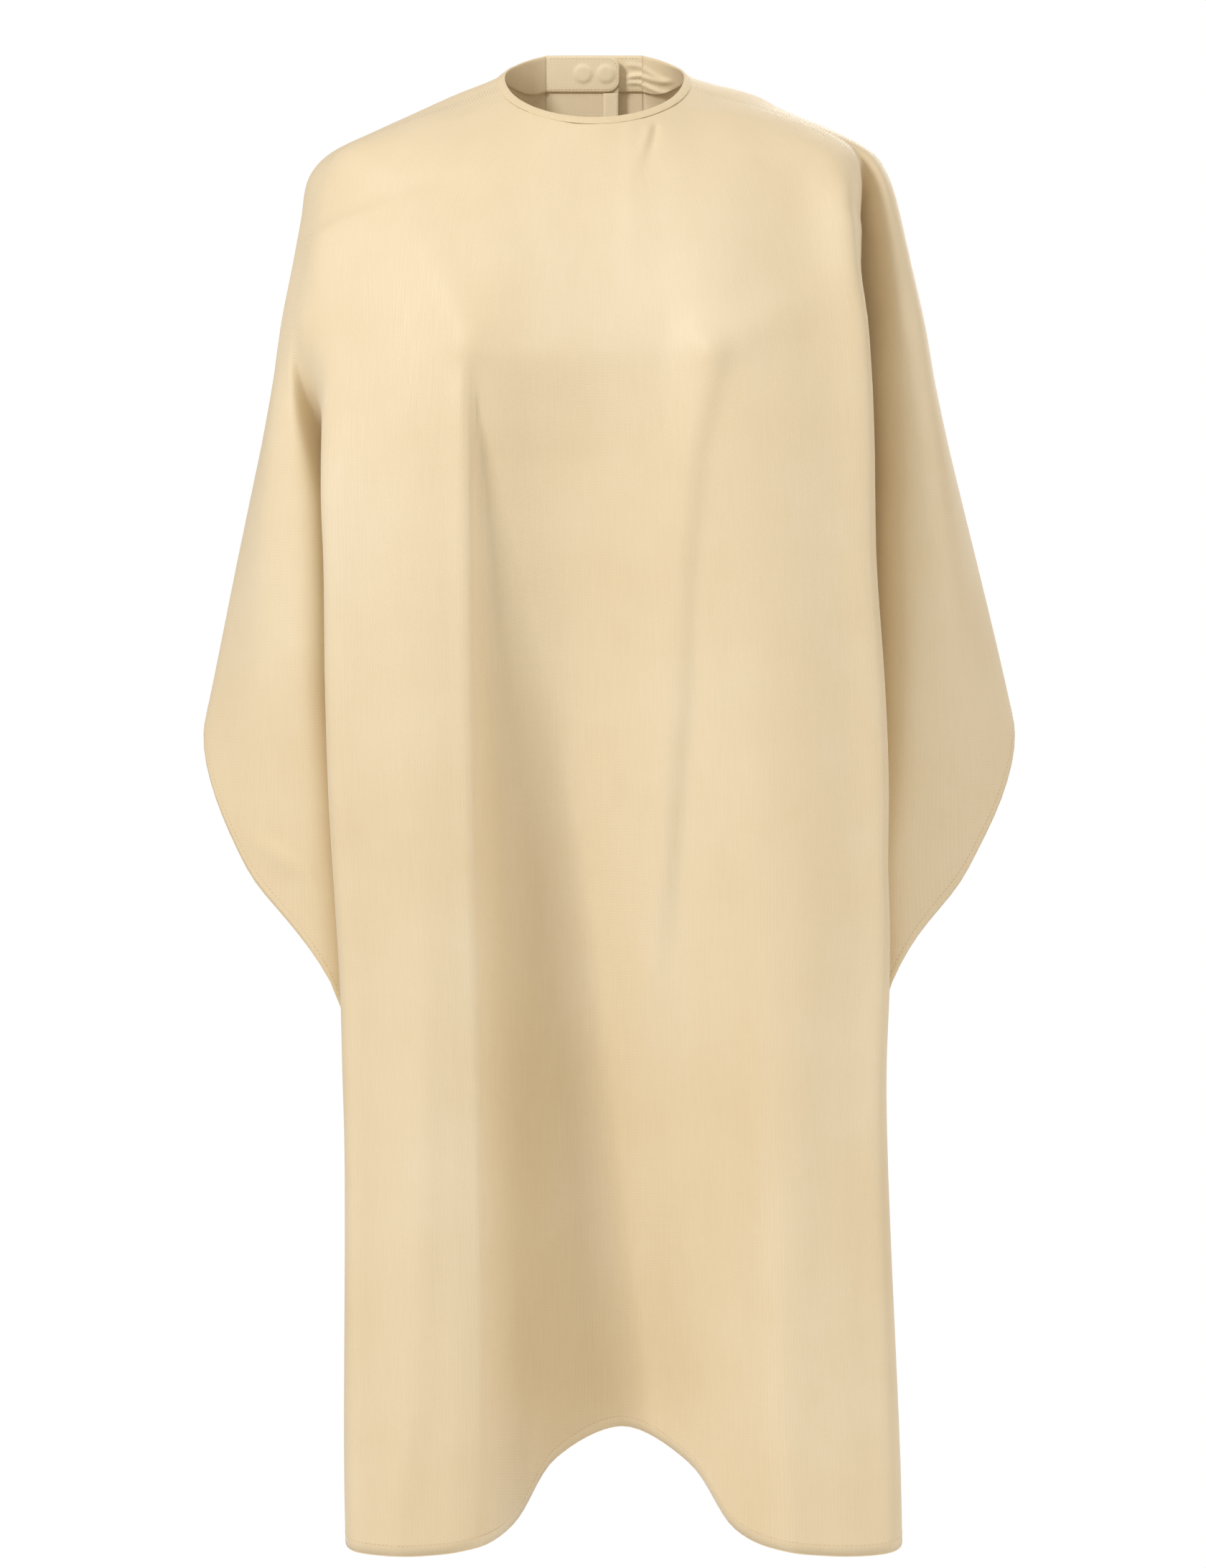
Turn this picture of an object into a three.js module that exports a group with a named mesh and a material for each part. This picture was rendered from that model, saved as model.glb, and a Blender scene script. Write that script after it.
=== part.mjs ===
// Salon cape: one sheet of light cloth with a neck hole and a slit down the back, hanging as it does
// when worn, with a bound neck edge and a press-stud closure at the nape.
// Millimetres, +Z up. The wearer faces -Y, and the origin is the middle of the neck opening.
import * as THREE from "three";
import { LoftGeometry } from "three/addons/geometries/LoftGeometry.js";

// Neck opening and the band that finishes it
const NECK_RADIUS = 69;
const NECK_FRONT_DROP = 38; // how far the front of the opening dips below its sides
const NECK_BACK_RISE = 27;
const BAND_FRONT_HEIGHT = 7;
const BAND_BACK_HEIGHT = 28;
const BAND_FRONT_THICKNESS = 1.6;
const BAND_FRONT_FLARE = 34; // degrees from upright
const BAND_SIDE_FLARE = 58;
const BAND_LEVEL_ANGLES = [60, 120]; // round the neck from the front, where the top turns from dip to rise
const BAND_HEIGHT_ANGLE = 95; // where the band starts to grow towards its full height at the back
const BAND_FULL_MARGIN = 8; // degrees before the hinge line where it has that height
const BACK_TILT = 6.8; // degrees by which the back of the cape leans away from upright
const HINGE_HALF = 38; // half the width between the two lines where the closing halves fold open

// The hanging sheet, measured from the middle of the neck opening
const CLOTH_THICKNESS = 1.2;
const YOKE_FORWARD = 92;
const YOKE_DROP = 95;
const SHOULDER_HALF = 220;
const SHOULDER_DROP = 82;
const BUST_HALF = 94;
const BUST_FORWARD = 142;
const BUST_DROP = 220;
const PANEL_HALF = 209; // half the width of the front fall
const PANEL_FORWARD = 108;
const FRONT_DROP = 1117;
const TROUGH_FORWARD = 62; // the long hollow down the middle of the front, at the hem
const ARCH_HALF = 84;
const ARCH_HEIGHT = 80;
const WING_HALF = 312; // the cloth over the arms
const WING_DROP = 505;
const WING_MEET_DROP = 694; // where a wing's lower edge passes behind the front fall
const WRAP_DEPTH = 150; // how far the lower sides turn back behind the front fall
const BACK_DROP = 356; // from the top of the nape down to the back hem
const LEAN = 0.02; // sideways drift of the hanging cloth for each millimetre of drop

// Closure at the nape, as layers counted outwards from the inner face of the under tab
const GAP = 0.3;
const LINING_THICKNESS = 0.6;
const INTERLINING_THICKNESS = 0.8;
const TAB_CLOTH_THICKNESS = 0.8;
const TAB_THICKNESS = LINING_THICKNESS + INTERLINING_THICKNESS + TAB_CLOTH_THICKNESS + 2 * GAP;
const TAB_END_MARGIN = 4; // cloth left beyond the last press stud of a tab
const TAB_CORNER = 9;
const FLAP_REACH = 19;
const FLAP_CORNER = 12;
const FACING_WIDTH = 12;
const FACING_THICKNESS = 0.6;
const FACING_HEM_MARGIN = 4;
const FACING_CORNER = 10;

// Press studs
const SNAP_PITCH = 18;
const SOCKET_PLACES = [-1.5, -0.5, 0.5]; // in pitches from the middle of the back
const STUD_PLACES = [-0.5, 0.5];
const SNAP_ROUND_STEPS = 12;
const CAP_RADIUS = 6.2;
const CAP_HEIGHT = 1.8;
const STEM_RADIUS = 1.5;
const STEM_RECESS = 0.1;
const HOLE_CLEARANCE = 0.4;
const STEM_HOLE_RADIUS = STEM_RADIUS + HOLE_CLEARANCE;
const STUD_FLANGE_RADIUS = 5;
const STUD_FLANGE_HEIGHT = 0.7;
const STUD_NECK_RADIUS = 1.75;
const STUD_HEAD_RADIUS = 2.1;
const STUD_HEAD_HEIGHT = 2.6;
const STUD_WALL = 0.5;
const RIVET_RADIUS = 4.4;
const RIVET_FLANGE_HEIGHT = 0.7;
const RIVET_STEM_RADIUS = 1;
const RIVET_STEM_RECESS = 1; // from the top of the stud down to the end of the stem
const RIVET_HOLE_RADIUS = RIVET_STEM_RADIUS + HOLE_CLEARANCE;
const SOCKET_RADIUS = 5.4;
const SOCKET_MOUTH_CLEARANCE = 1;
const SOCKET_WALL = 0.7;
const SOCKET_HEAD_GAP = 0.4;

// Mesh fineness
const COLUMN_STEPS = 2; // columns of the sheet between one thread line and the next
const ROWS_ABOVE_CHEST = 11;
const ROWS_BELOW_CHEST = 11;
const OUTLINE_STEPS = 6;

const under = { inner: 0, outer: TAB_THICKNESS };
const studTop = under.outer + GAP + STUD_FLANGE_HEIGHT + STUD_HEAD_HEIGHT;
const socketMouth = under.outer + GAP + STUD_FLANGE_HEIGHT + GAP;
const socketTop = studTop + SOCKET_HEAD_GAP + SOCKET_WALL;
const over = { inner: socketTop + GAP, outer: socketTop + GAP + TAB_THICKNESS };

// How far each tab passes the middle of the back
const overReach = -Math.min(...SOCKET_PLACES) * SNAP_PITCH + CAP_RADIUS + TAB_END_MARGIN;
const underReach = Math.max(...STUD_PLACES) * SNAP_PITCH + CAP_RADIUS + TAB_END_MARGIN;

const degrees = THREE.MathUtils.degToRad;
const { lerp, smoothstep } = THREE.MathUtils;

const backOutward = new THREE.Vector3(0, Math.cos(degrees(BACK_TILT)), Math.sin(degrees(BACK_TILT)));
const backDown = new THREE.Vector3(0, Math.sin(degrees(BACK_TILT)), -Math.cos(degrees(BACK_TILT)));
const hingeAngle = 180 - THREE.MathUtils.radToDeg(Math.asin(HINGE_HALF / NECK_RADIUS));
const backTop = new THREE.Vector3(
  0,
  -NECK_RADIUS * Math.cos(degrees(hingeAngle)),
  -NECK_BACK_RISE * Math.cos(degrees(hingeAngle)),
);

// A point of the flat back: across, down from the top of the nape, and outwards.
function backPoint(across, down, outwards) {
  const point = new THREE.Vector3(across, 0, 0);
  point.add(backTop);
  point.addScaledVector(backDown, down);
  point.addScaledVector(backOutward, outwards);
  return point;
}

// A point of the hanging sheet, from its distance out to one side, forward and down.
function hangingPoint(side, out, forward, drop) {
  return new THREE.Vector3(side * out + LEAN * drop, -forward, -drop);
}

// The neck edge at an angle from the front: the top of the band and its foot, where the sheet begins.
function neckEdge(side, angle) {
  const turn = degrees(angle);
  const toBack = smoothstep(angle, 90, hingeAngle);
  const toRise = smoothstep(angle, ...BAND_LEVEL_ANGLES);
  const toFull = smoothstep(angle, BAND_HEIGHT_ANGLE, hingeAngle - BAND_FULL_MARGIN);
  const radial = new THREE.Vector3(side * Math.sin(turn), -Math.cos(turn), 0);
  const top = radial.clone().multiplyScalar(NECK_RADIUS);
  top.z = -lerp(NECK_FRONT_DROP, NECK_BACK_RISE, toRise) * Math.cos(turn);
  const sideFlare = lerp(BAND_FRONT_FLARE, BAND_SIDE_FLARE, Math.sin(turn) ** 2);
  const flare = degrees(lerp(sideFlare, BACK_TILT, toBack));
  const level = side > 0 ? over.outer : under.outer;
  top.addScaledVector(backOutward, toBack * level);
  const outward = radial.lerp(new THREE.Vector3(0, 1, 0), toBack).normalize();
  const down = outward.multiplyScalar(Math.sin(flare));
  down.z = -Math.cos(flare);
  const height = lerp(BAND_FRONT_HEIGHT, BAND_BACK_HEIGHT, toFull);
  return { top, foot: top.clone().addScaledVector(down, height), down, toBack };
}

// Thread lines run from the neck edge over the shoulders to the hem. Each is given by its angle at the
// neck and three points: on the yoke, at chest level and at the hem. This lists them for one side,
// from the first one beside the middle of the front to the hinge line at the back.
function sideThreads(side) {
  const at = (out, forward, drop) => hangingPoint(side, out, forward, drop);
  const archTop = FRONT_DROP - ARCH_HEIGHT;
  const sideChest = BUST_DROP + 28;
  const level = (side > 0 ? over.outer : under.outer) - CLOTH_THICKNESS / 2;
  const hinge = (down) => backPoint(side * HINGE_HALF, down, level);
  const backHem = BACK_DROP - backTop.z;
  const lines = [
    [
      18,
      at(0.4 * BUST_HALF, YOKE_FORWARD, YOKE_DROP - 2),
      at(0.5 * BUST_HALF, BUST_FORWARD - 5, BUST_DROP + 8),
      at(0.6 * ARCH_HALF, TROUGH_FORWARD + 5, archTop + 0.28 * ARCH_HEIGHT),
    ],
    [
      28,
      at(0.7 * BUST_HALF, YOKE_FORWARD - 2, YOKE_DROP - 5),
      at(0.88 * BUST_HALF, BUST_FORWARD, BUST_DROP),
      at(ARCH_HALF, TROUGH_FORWARD + 40, archTop + 0.85 * ARCH_HEIGHT),
    ],
    [
      38,
      at(BUST_HALF, YOKE_FORWARD - 8, YOKE_DROP - 8),
      at(1.25 * BUST_HALF, BUST_FORWARD - 4, BUST_DROP + 2),
      at(1.5 * ARCH_HALF, BUST_FORWARD + 6, FRONT_DROP),
    ],
    [
      52,
      at(0.68 * SHOULDER_HALF, YOKE_FORWARD - 26, SHOULDER_DROP + 6),
      at(0.8 * PANEL_HALF, PANEL_FORWARD + 12, BUST_DROP + 5),
      at(0.86 * PANEL_HALF, PANEL_FORWARD + 36, FRONT_DROP + 3),
    ],
    [
      62,
      at(0.85 * SHOULDER_HALF, YOKE_FORWARD - 46, SHOULDER_DROP + 2),
      at(PANEL_HALF, PANEL_FORWARD - 24, BUST_DROP + 12),
      at(PANEL_HALF, PANEL_FORWARD, FRONT_DROP),
    ],
    [
      68,
      at(0.91 * SHOULDER_HALF, YOKE_FORWARD - 58, SHOULDER_DROP + 1),
      at(PANEL_HALF - 3, PANEL_FORWARD - 52, BUST_DROP + 20),
      at(PANEL_HALF + 3, PANEL_FORWARD - 0.45 * WRAP_DEPTH, FRONT_DROP - 8),
    ],
    [
      74,
      at(0.94 * SHOULDER_HALF, YOKE_FORWARD - 70, SHOULDER_DROP),
      at(PANEL_HALF - 8, PANEL_FORWARD - 82, BUST_DROP + 25),
      at(PANEL_HALF - 10, PANEL_FORWARD - WRAP_DEPTH, FRONT_DROP - 18),
    ],
    [
      78,
      at(0.955 * SHOULDER_HALF, YOKE_FORWARD - 78, SHOULDER_DROP),
      at(PANEL_HALF - 2, PANEL_FORWARD - 86, sideChest),
      at(PANEL_HALF - 12, PANEL_FORWARD - 0.8 * WRAP_DEPTH, 0.5 * (WING_MEET_DROP + FRONT_DROP)),
    ],
    [
      83,
      at(0.97 * SHOULDER_HALF, YOKE_FORWARD - 84, SHOULDER_DROP),
      at(PANEL_HALF + 14, PANEL_FORWARD - 50, sideChest),
      at(PANEL_HALF, PANEL_FORWARD - 62, WING_MEET_DROP),
    ],
    [
      90,
      at(0.99 * SHOULDER_HALF, YOKE_FORWARD - 96, SHOULDER_DROP),
      at(PANEL_HALF + 36, PANEL_FORWARD - 62, sideChest),
      at(0.5 * (PANEL_HALF + WING_HALF) + 18, PANEL_FORWARD - 88, 0.5 * (WING_MEET_DROP + WING_DROP) + 8),
    ],
    [
      100,
      at(SHOULDER_HALF, -20, SHOULDER_DROP),
      at(0.5 * (SHOULDER_HALF + WING_HALF) - 14, -14, sideChest - 4),
      at(WING_HALF, -24, WING_DROP),
    ],
    [
      112,
      at(0.975 * SHOULDER_HALF, -44, SHOULDER_DROP),
      at(0.5 * (SHOULDER_HALF + WING_HALF) - 20, -48, sideChest - 20),
      at(WING_HALF - 24, -64, WING_DROP - 55),
    ],
    [
      126,
      at(0.8 * SHOULDER_HALF, -68, SHOULDER_DROP),
      at(0.9 * SHOULDER_HALF, -88, BUST_DROP - 25),
      at(0.67 * WING_HALF, -100, backHem + 48),
    ],
    [
      138,
      at(0.48 * SHOULDER_HALF, -76, SHOULDER_DROP - 5),
      at(0.55 * SHOULDER_HALF, -96, BUST_DROP - 60),
      at(0.42 * WING_HALF, -112, backHem + 10),
    ],
    [hingeAngle, hinge(62), hinge(160), hinge(BACK_DROP)],
  ];
  return lines.map(([angle, yoke, chest, hem]) => ({
    angle,
    points: [neckEdge(side, angle).foot, yoke, chest, hem],
  }));
}

const centreThread = {
  angle: 0,
  points: [
    neckEdge(1, 0).foot,
    hangingPoint(1, 0, YOKE_FORWARD, YOKE_DROP),
    hangingPoint(1, 0, BUST_FORWARD - 8, BUST_DROP + 14),
    hangingPoint(1, 0, TROUGH_FORWARD, FRONT_DROP - ARCH_HEIGHT),
  ],
};
const threads = [...sideThreads(-1).reverse(), centreThread, ...sideThreads(1)];

// Each ring passes through the same point of every thread line, and each column of the sheet passes
// through the same place of every ring.
const rings = centreThread.points.map(
  (_, k) => new THREE.CatmullRomCurve3(threads.map((thread) => thread.points[k])),
);
const columnCount = (threads.length - 1) * COLUMN_STEPS;

// The angle at the neck of a column, between those of the threads beside it.
function columnAngle(i) {
  const place = i / COLUMN_STEPS;
  const before = threads[Math.floor(place)].angle;
  const after = threads[Math.ceil(place)].angle;
  return lerp(before, after, place % 1);
}

const rowCount = ROWS_ABOVE_CHEST + ROWS_BELOW_CHEST;

// How far along a thread line a row of the sheet lies: the chest point is two thirds of the way.
function rowPlace(j) {
  const chest = 2 / 3;
  if (j <= ROWS_ABOVE_CHEST) return (chest * j) / ROWS_ABOVE_CHEST;
  return lerp(chest, 1, (j - ROWS_ABOVE_CHEST) / ROWS_BELOW_CHEST);
}

const sheetGrid = [];
for (let i = 0; i <= columnCount; i += 1) {
  const column = new THREE.CatmullRomCurve3(rings.map((ring) => ring.getPoint(i / columnCount)));
  sheetGrid.push(Array.from({ length: rowCount + 1 }, (_, j) => column.getPoint(rowPlace(j))));
}

// Down along the band and out of it, where a column of the sheet starts.
function neckFrame(i) {
  const edge = neckEdge(i < columnCount / 2 ? -1 : 1, columnAngle(i));
  if (i === 0 || i === columnCount) return { ...edge, outward: backOutward.clone() };
  const across = sheetGrid[i + 1][0].clone().sub(sheetGrid[i - 1][0]);
  return { ...edge, outward: edge.down.clone().cross(across).normalize() };
}

// The outward direction of the sheet at a place of its grid. The two end columns lie in the flat back.
function sheetNormal(i, j) {
  if (i === 0 || i === columnCount) return backOutward.clone();
  if (j === 0) return neckFrame(i).outward;
  const across = sheetGrid[i + 1][j].clone().sub(sheetGrid[i - 1][j]);
  const down = sheetGrid[i][Math.min(j + 1, rowCount)].clone().sub(sheetGrid[i][Math.max(j - 1, 0)]);
  return down.cross(across).normalize();
}

// A column of the sheet moved outwards by a distance.
function shiftedColumn(i, distance) {
  return sheetGrid[i].map((p, j) => p.clone().addScaledVector(sheetNormal(i, j), distance));
}

// A closed skin: each section runs down the outside of one column and back up its inside.
function sheetGeometry() {
  const half = CLOTH_THICKNESS / 2;
  const sections = sheetGrid.map((_, i) => [
    ...shiftedColumn(i, half),
    ...shiftedColumn(i, -half).reverse(),
  ]);
  return new LoftGeometry(sections, { capStart: true, capEnd: true });
}

// The band round the neck, standing just above the sheet's neck edge, as thick as the tabs at its ends.
function bandGeometry() {
  const sections = sheetGrid.map((column, i) => {
    const { down, outward, top, foot, toBack } = neckFrame(i);
    const low = column[0].clone().addScaledVector(down, -GAP);
    low.addScaledVector(outward, CLOTH_THICKNESS / 2);
    const high = low.clone().addScaledVector(down, GAP - foot.distanceTo(top));
    const thickness = lerp(BAND_FRONT_THICKNESS, TAB_THICKNESS, toBack);
    const innerLow = low.clone().addScaledVector(outward, -thickness);
    const innerHigh = high.clone().addScaledVector(outward, -thickness);
    return [high, low, innerLow, innerHigh];
  });
  return new LoftGeometry(sections, { capStart: true, capEnd: true });
}

const clothLook = { color: 0xeedfbf, roughness: 0.55, metalness: 0 };
const bandLook = { color: 0xe9d7b4, roughness: 0.6, metalness: 0 };
const liningLook = { color: 0xdcc8a2, roughness: 0.75, metalness: 0 };
const interliningLook = { color: 0xf1ece0, roughness: 0.9, metalness: 0 };
const metalLook = { color: 0xb9b6ae, roughness: 0.3, metalness: 1 };

function piece(name, geometry, look) {
  const mesh = new THREE.Mesh(geometry, new THREE.MeshStandardMaterial(look));
  mesh.name = name;
  return mesh;
}

// A flat piece of the closure, from its outline seen from behind and the level of its outer face.
function plate(outline, thickness, outerLevel) {
  const settings = { depth: thickness, bevelEnabled: false, curveSegments: OUTLINE_STEPS };
  const geometry = new THREE.ExtrudeGeometry(outline, settings);
  geometry.rotateX(Math.PI / 2);
  geometry.translate(0, outerLevel, 0);
  return geometry;
}

// A strip from the hinge line at x = from to a free end at x = to, whose corners there are rounded.
function stripOutline(from, to, top, bottom, topCorner, bottomCorner) {
  const inward = Math.sign(from - to);
  const outline = new THREE.Shape();
  outline.moveTo(from, top);
  if (topCorner > 0) {
    outline.lineTo(to + inward * topCorner, top);
    outline.quadraticCurveTo(to, top, to, top - topCorner);
  } else {
    outline.lineTo(to, top);
  }
  outline.lineTo(to, bottom + bottomCorner);
  outline.quadraticCurveTo(to, bottom, to + inward * bottomCorner, bottom);
  outline.lineTo(from, bottom);
  outline.closePath();
  return outline;
}

function addHoles(outline, places, radius) {
  for (const place of places) {
    const hole = new THREE.Path();
    hole.absarc(place * SNAP_PITCH, -BAND_BACK_HEIGHT / 2, radius, 0, 2 * Math.PI, false);
    outline.holes.push(hole);
  }
  return outline;
}

// A turned metal piece, from its profile as radius and level outwards, at one stud's place.
function turned(profile, place) {
  const geometry = new THREE.LatheGeometry(
    profile.map(([radius, level]) => new THREE.Vector2(radius, level)),
    SNAP_ROUND_STEPS,
  );
  geometry.translate(place * SNAP_PITCH, 0, -BAND_BACK_HEIGHT / 2);
  return geometry;
}

function capProfile() {
  const foot = over.outer + GAP;
  const stemEnd = socketTop - SOCKET_WALL + STEM_RECESS;
  return [
    [0, stemEnd],
    [STEM_RADIUS, stemEnd],
    [STEM_RADIUS, foot],
    [CAP_RADIUS, foot],
    [CAP_RADIUS, foot + 0.35 * CAP_HEIGHT],
    [0.7 * CAP_RADIUS, foot + 0.85 * CAP_HEIGHT],
    [0, foot + CAP_HEIGHT],
  ];
}

function socketProfile() {
  const cavity = STUD_HEAD_RADIUS + SOCKET_MOUTH_CLEARANCE;
  return [
    [cavity, socketMouth],
    [0.8 * SOCKET_RADIUS, socketMouth],
    [SOCKET_RADIUS, socketMouth + 0.4 * (socketTop - socketMouth)],
    [SOCKET_RADIUS, socketTop],
    [STEM_HOLE_RADIUS, socketTop],
    [STEM_HOLE_RADIUS, socketTop - SOCKET_WALL],
    [cavity, socketTop - SOCKET_WALL],
    [cavity, socketMouth],
  ];
}

function studProfile() {
  const foot = under.outer + GAP;
  const shoulder = foot + STUD_FLANGE_HEIGHT;
  const bore = RIVET_HOLE_RADIUS;
  return [
    [bore, foot],
    [STUD_FLANGE_RADIUS, foot],
    [STUD_FLANGE_RADIUS, shoulder],
    [STUD_NECK_RADIUS, shoulder],
    [STUD_HEAD_RADIUS, studTop - 0.5 * STUD_HEAD_HEIGHT],
    [0.8 * STUD_HEAD_RADIUS, studTop],
    [0, studTop],
    [0, studTop - STUD_WALL],
    [bore, studTop - STUD_WALL],
    [bore, foot],
  ];
}

function rivetProfile() {
  const head = under.inner - GAP - RIVET_FLANGE_HEIGHT;
  const stemEnd = studTop - RIVET_STEM_RECESS;
  return [
    [0, head],
    [RIVET_RADIUS, head],
    [RIVET_RADIUS, head + RIVET_FLANGE_HEIGHT],
    [RIVET_STEM_RADIUS, head + RIVET_FLANGE_HEIGHT],
    [RIVET_STEM_RADIUS, stemEnd],
    [0, stemEnd],
  ];
}

// One tab of the closure: lining, interlining and outer cloth, each with its row of holes.
function tab(name, side, reach, levels, places, holeRadius) {
  const outline = () => {
    const from = side * (HINGE_HALF - GAP);
    const shape = stripOutline(from, -side * reach, 0, -BAND_BACK_HEIGHT, TAB_CORNER, TAB_CORNER);
    return addHoles(shape, places, holeRadius);
  };
  const liningOuter = levels.inner + LINING_THICKNESS;
  const interliningOuter = liningOuter + GAP + INTERLINING_THICKNESS;
  const lining = plate(outline(), LINING_THICKNESS, liningOuter);
  const interlining = plate(outline(), INTERLINING_THICKNESS, interliningOuter);
  const outer = plate(outline(), TAB_CLOTH_THICKNESS, levels.outer);
  return [
    piece(`${name}_tab_lining`, lining, liningLook),
    piece(`${name}_tab_interlining`, interlining, interliningLook),
    piece(`${name}_tab_outer`, outer, bandLook),
  ];
}

// One half of the back below its tab, with the facing strip along the slit.
function backHalf(name, side, levels) {
  const top = -BAND_BACK_HEIGHT - GAP;
  const free = -side * FLAP_REACH;
  const facingFrom = free + side * FACING_WIDTH;
  const facingEnd = -BACK_DROP + FACING_HEM_MARGIN;
  const flap = stripOutline(side * (HINGE_HALF - GAP), free, top, -BACK_DROP, 0, FLAP_CORNER);
  const facing = stripOutline(facingFrom, free, top, facingEnd, 0, FACING_CORNER);
  const facingOuter = levels.outer - CLOTH_THICKNESS - GAP;
  return [
    piece(`back_half_${name}`, plate(flap, CLOTH_THICKNESS, levels.outer), clothLook),
    piece(`slit_facing_${name}`, plate(facing, FACING_THICKNESS, facingOuter), liningLook),
  ];
}

const cape = new THREE.Group();
cape.add(piece("cape_panel", sheetGeometry(), clothLook));
cape.add(piece("neck_binding", bandGeometry(), bandLook));

const closure = new THREE.Group();
closure.position.copy(backTop);
closure.rotation.x = degrees(BACK_TILT);
closure.add(...tab("over", 1, overReach, over, SOCKET_PLACES, STEM_HOLE_RADIUS));
closure.add(...tab("under", -1, underReach, under, STUD_PLACES, RIVET_HOLE_RADIUS));
closure.add(...backHalf("over", 1, over));
closure.add(...backHalf("under", -1, under));
SOCKET_PLACES.forEach((place, n) => {
  closure.add(piece(`snap_cap_${n + 1}`, turned(capProfile(), place), metalLook));
  closure.add(piece(`snap_socket_${n + 1}`, turned(socketProfile(), place), metalLook));
});
STUD_PLACES.forEach((place, n) => {
  closure.add(piece(`snap_stud_${n + 1}`, turned(studProfile(), place), metalLook));
  closure.add(piece(`snap_rivet_${n + 1}`, turned(rivetProfile(), place), metalLook));
});
cape.add(closure);

export default cape;
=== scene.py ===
"""Looks of a salon cape: its cloth, bound neck, hems, stitching and press studs."""

import logging
import math
from abc import ABC, abstractmethod
from collections.abc import Sequence
from dataclasses import dataclass, field
from enum import Enum

import bmesh
import bpy
import numpy as np
from mathutils import Matrix, Vector


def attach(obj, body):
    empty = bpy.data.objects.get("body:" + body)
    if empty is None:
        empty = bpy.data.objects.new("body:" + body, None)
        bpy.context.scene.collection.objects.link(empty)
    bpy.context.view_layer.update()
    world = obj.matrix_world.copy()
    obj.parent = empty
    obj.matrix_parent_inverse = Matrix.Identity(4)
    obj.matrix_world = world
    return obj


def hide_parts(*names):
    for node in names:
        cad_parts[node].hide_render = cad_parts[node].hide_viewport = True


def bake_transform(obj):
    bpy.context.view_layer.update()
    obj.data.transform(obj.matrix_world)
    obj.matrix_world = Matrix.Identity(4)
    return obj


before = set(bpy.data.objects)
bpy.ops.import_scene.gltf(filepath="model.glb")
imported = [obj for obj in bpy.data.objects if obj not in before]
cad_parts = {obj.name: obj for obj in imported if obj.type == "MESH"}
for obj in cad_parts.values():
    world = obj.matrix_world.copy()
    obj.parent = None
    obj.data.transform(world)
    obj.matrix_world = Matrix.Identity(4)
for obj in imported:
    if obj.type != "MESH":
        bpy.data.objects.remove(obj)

LOG = logging.getLogger("salon_cape")
MM = 0.001
UV_NAME = "cloth"


# --------------------------------------------------------------------------- numbers and nodes


def mix(a: float, b: float, share: float) -> float:
    """The value that lies the given share of the way from a to b."""
    return a + (b - a) * share


def ease(x: float | np.ndarray, low: float, high: float) -> float | np.ndarray:
    """0 below low, 1 above high and an S curve between them."""
    t = np.clip((x - low) / (high - low), 0.0, 1.0)
    return t * t * (3.0 - 2.0 * t)


def bell(x: np.ndarray, middle: float | np.ndarray, width: float | np.ndarray) -> np.ndarray:
    """1 in the middle, falling away to nothing over about two widths."""
    return np.exp(-(((x - middle) / width) ** 2))


def linear(code: str) -> tuple[float, float, float, float]:
    """Turns an sRGB hex colour into the linear colour that shaders use.

    Args:
        code: Six hex digits, with or without a leading hash.

    Returns:
        Red, green, blue and an alpha of 1.
    """
    digits = code.lstrip("#")
    parts = [int(digits[k : k + 2], 16) / 255 for k in (0, 2, 4)]
    bent = [p / 12.92 if p <= 0.04045 else ((p + 0.055) / 1.055) ** 2.4 for p in parts]
    return (bent[0], bent[1], bent[2], 1.0)


def add_node(
    tree: bpy.types.NodeTree,
    kind: str,
    settings: dict | None = None,
    links: dict | None = None,
) -> bpy.types.Node:
    """Adds a node to a tree, sets it and links its inputs.

    Args:
        tree: The node tree that gets the node.
        kind: The node's type name.
        settings: Values by property name, or by input name or number.
        links: Output sockets by the input name or number they feed.

    Returns:
        The new node.
    """
    made = tree.nodes.new(kind)
    for key, value in (settings or {}).items():
        if isinstance(key, str) and hasattr(made, key):
            setattr(made, key, value)
        else:
            made.inputs[key].default_value = value
    for key, socket in (links or {}).items():
        tree.links.new(socket, made.inputs[key])
    return made


# --------------------------------------------------------------------------- shape of the drape


@dataclass(frozen=True)
class NeckPlace:
    """One place on the neck edge: the band's top, its foot and the way down the band."""

    top: np.ndarray
    foot: np.ndarray
    down: np.ndarray
    to_back: float


def through(points: np.ndarray, places: Sequence[float]) -> np.ndarray:
    """Smooth curve through points, by the centripetal Catmull-Rom rule.

    Args:
        points: The points in order along the first axis; other axes are further curves.
        places: Where to read the curve, from 0 at its first point to 1 at its last.

    Returns:
        The curve's points, one for each place along the first axis.
    """
    last = len(points) - 1
    made = []
    for place in places:
        k = min(int(place * last), last - 1)
        w = place * last - k
        x1, x2 = points[k], points[k + 1]
        x0 = points[k - 1] if k > 0 else 2 * points[0] - points[1]
        x3 = points[k + 2] if k + 2 <= last else 2 * points[last] - points[last - 1]
        d0, d1, d2 = (
            np.sqrt(np.linalg.norm(b - a, axis=-1, keepdims=True))
            for a, b in ((x0, x1), (x1, x2), (x2, x3))
        )
        t1 = ((x1 - x0) / d0 - (x2 - x0) / (d0 + d1) + (x2 - x1) / d1) * d1
        t2 = ((x2 - x1) / d1 - (x3 - x1) / (d1 + d2) + (x3 - x2) / d2) * d1
        c2 = -3 * x1 + 3 * x2 - 2 * t1 - t2
        c3 = 2 * x1 - 2 * x2 + t1 + t2
        made.append(x1 + t1 * w + c2 * w * w + c3 * w**3)
    return np.array(made)


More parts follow.
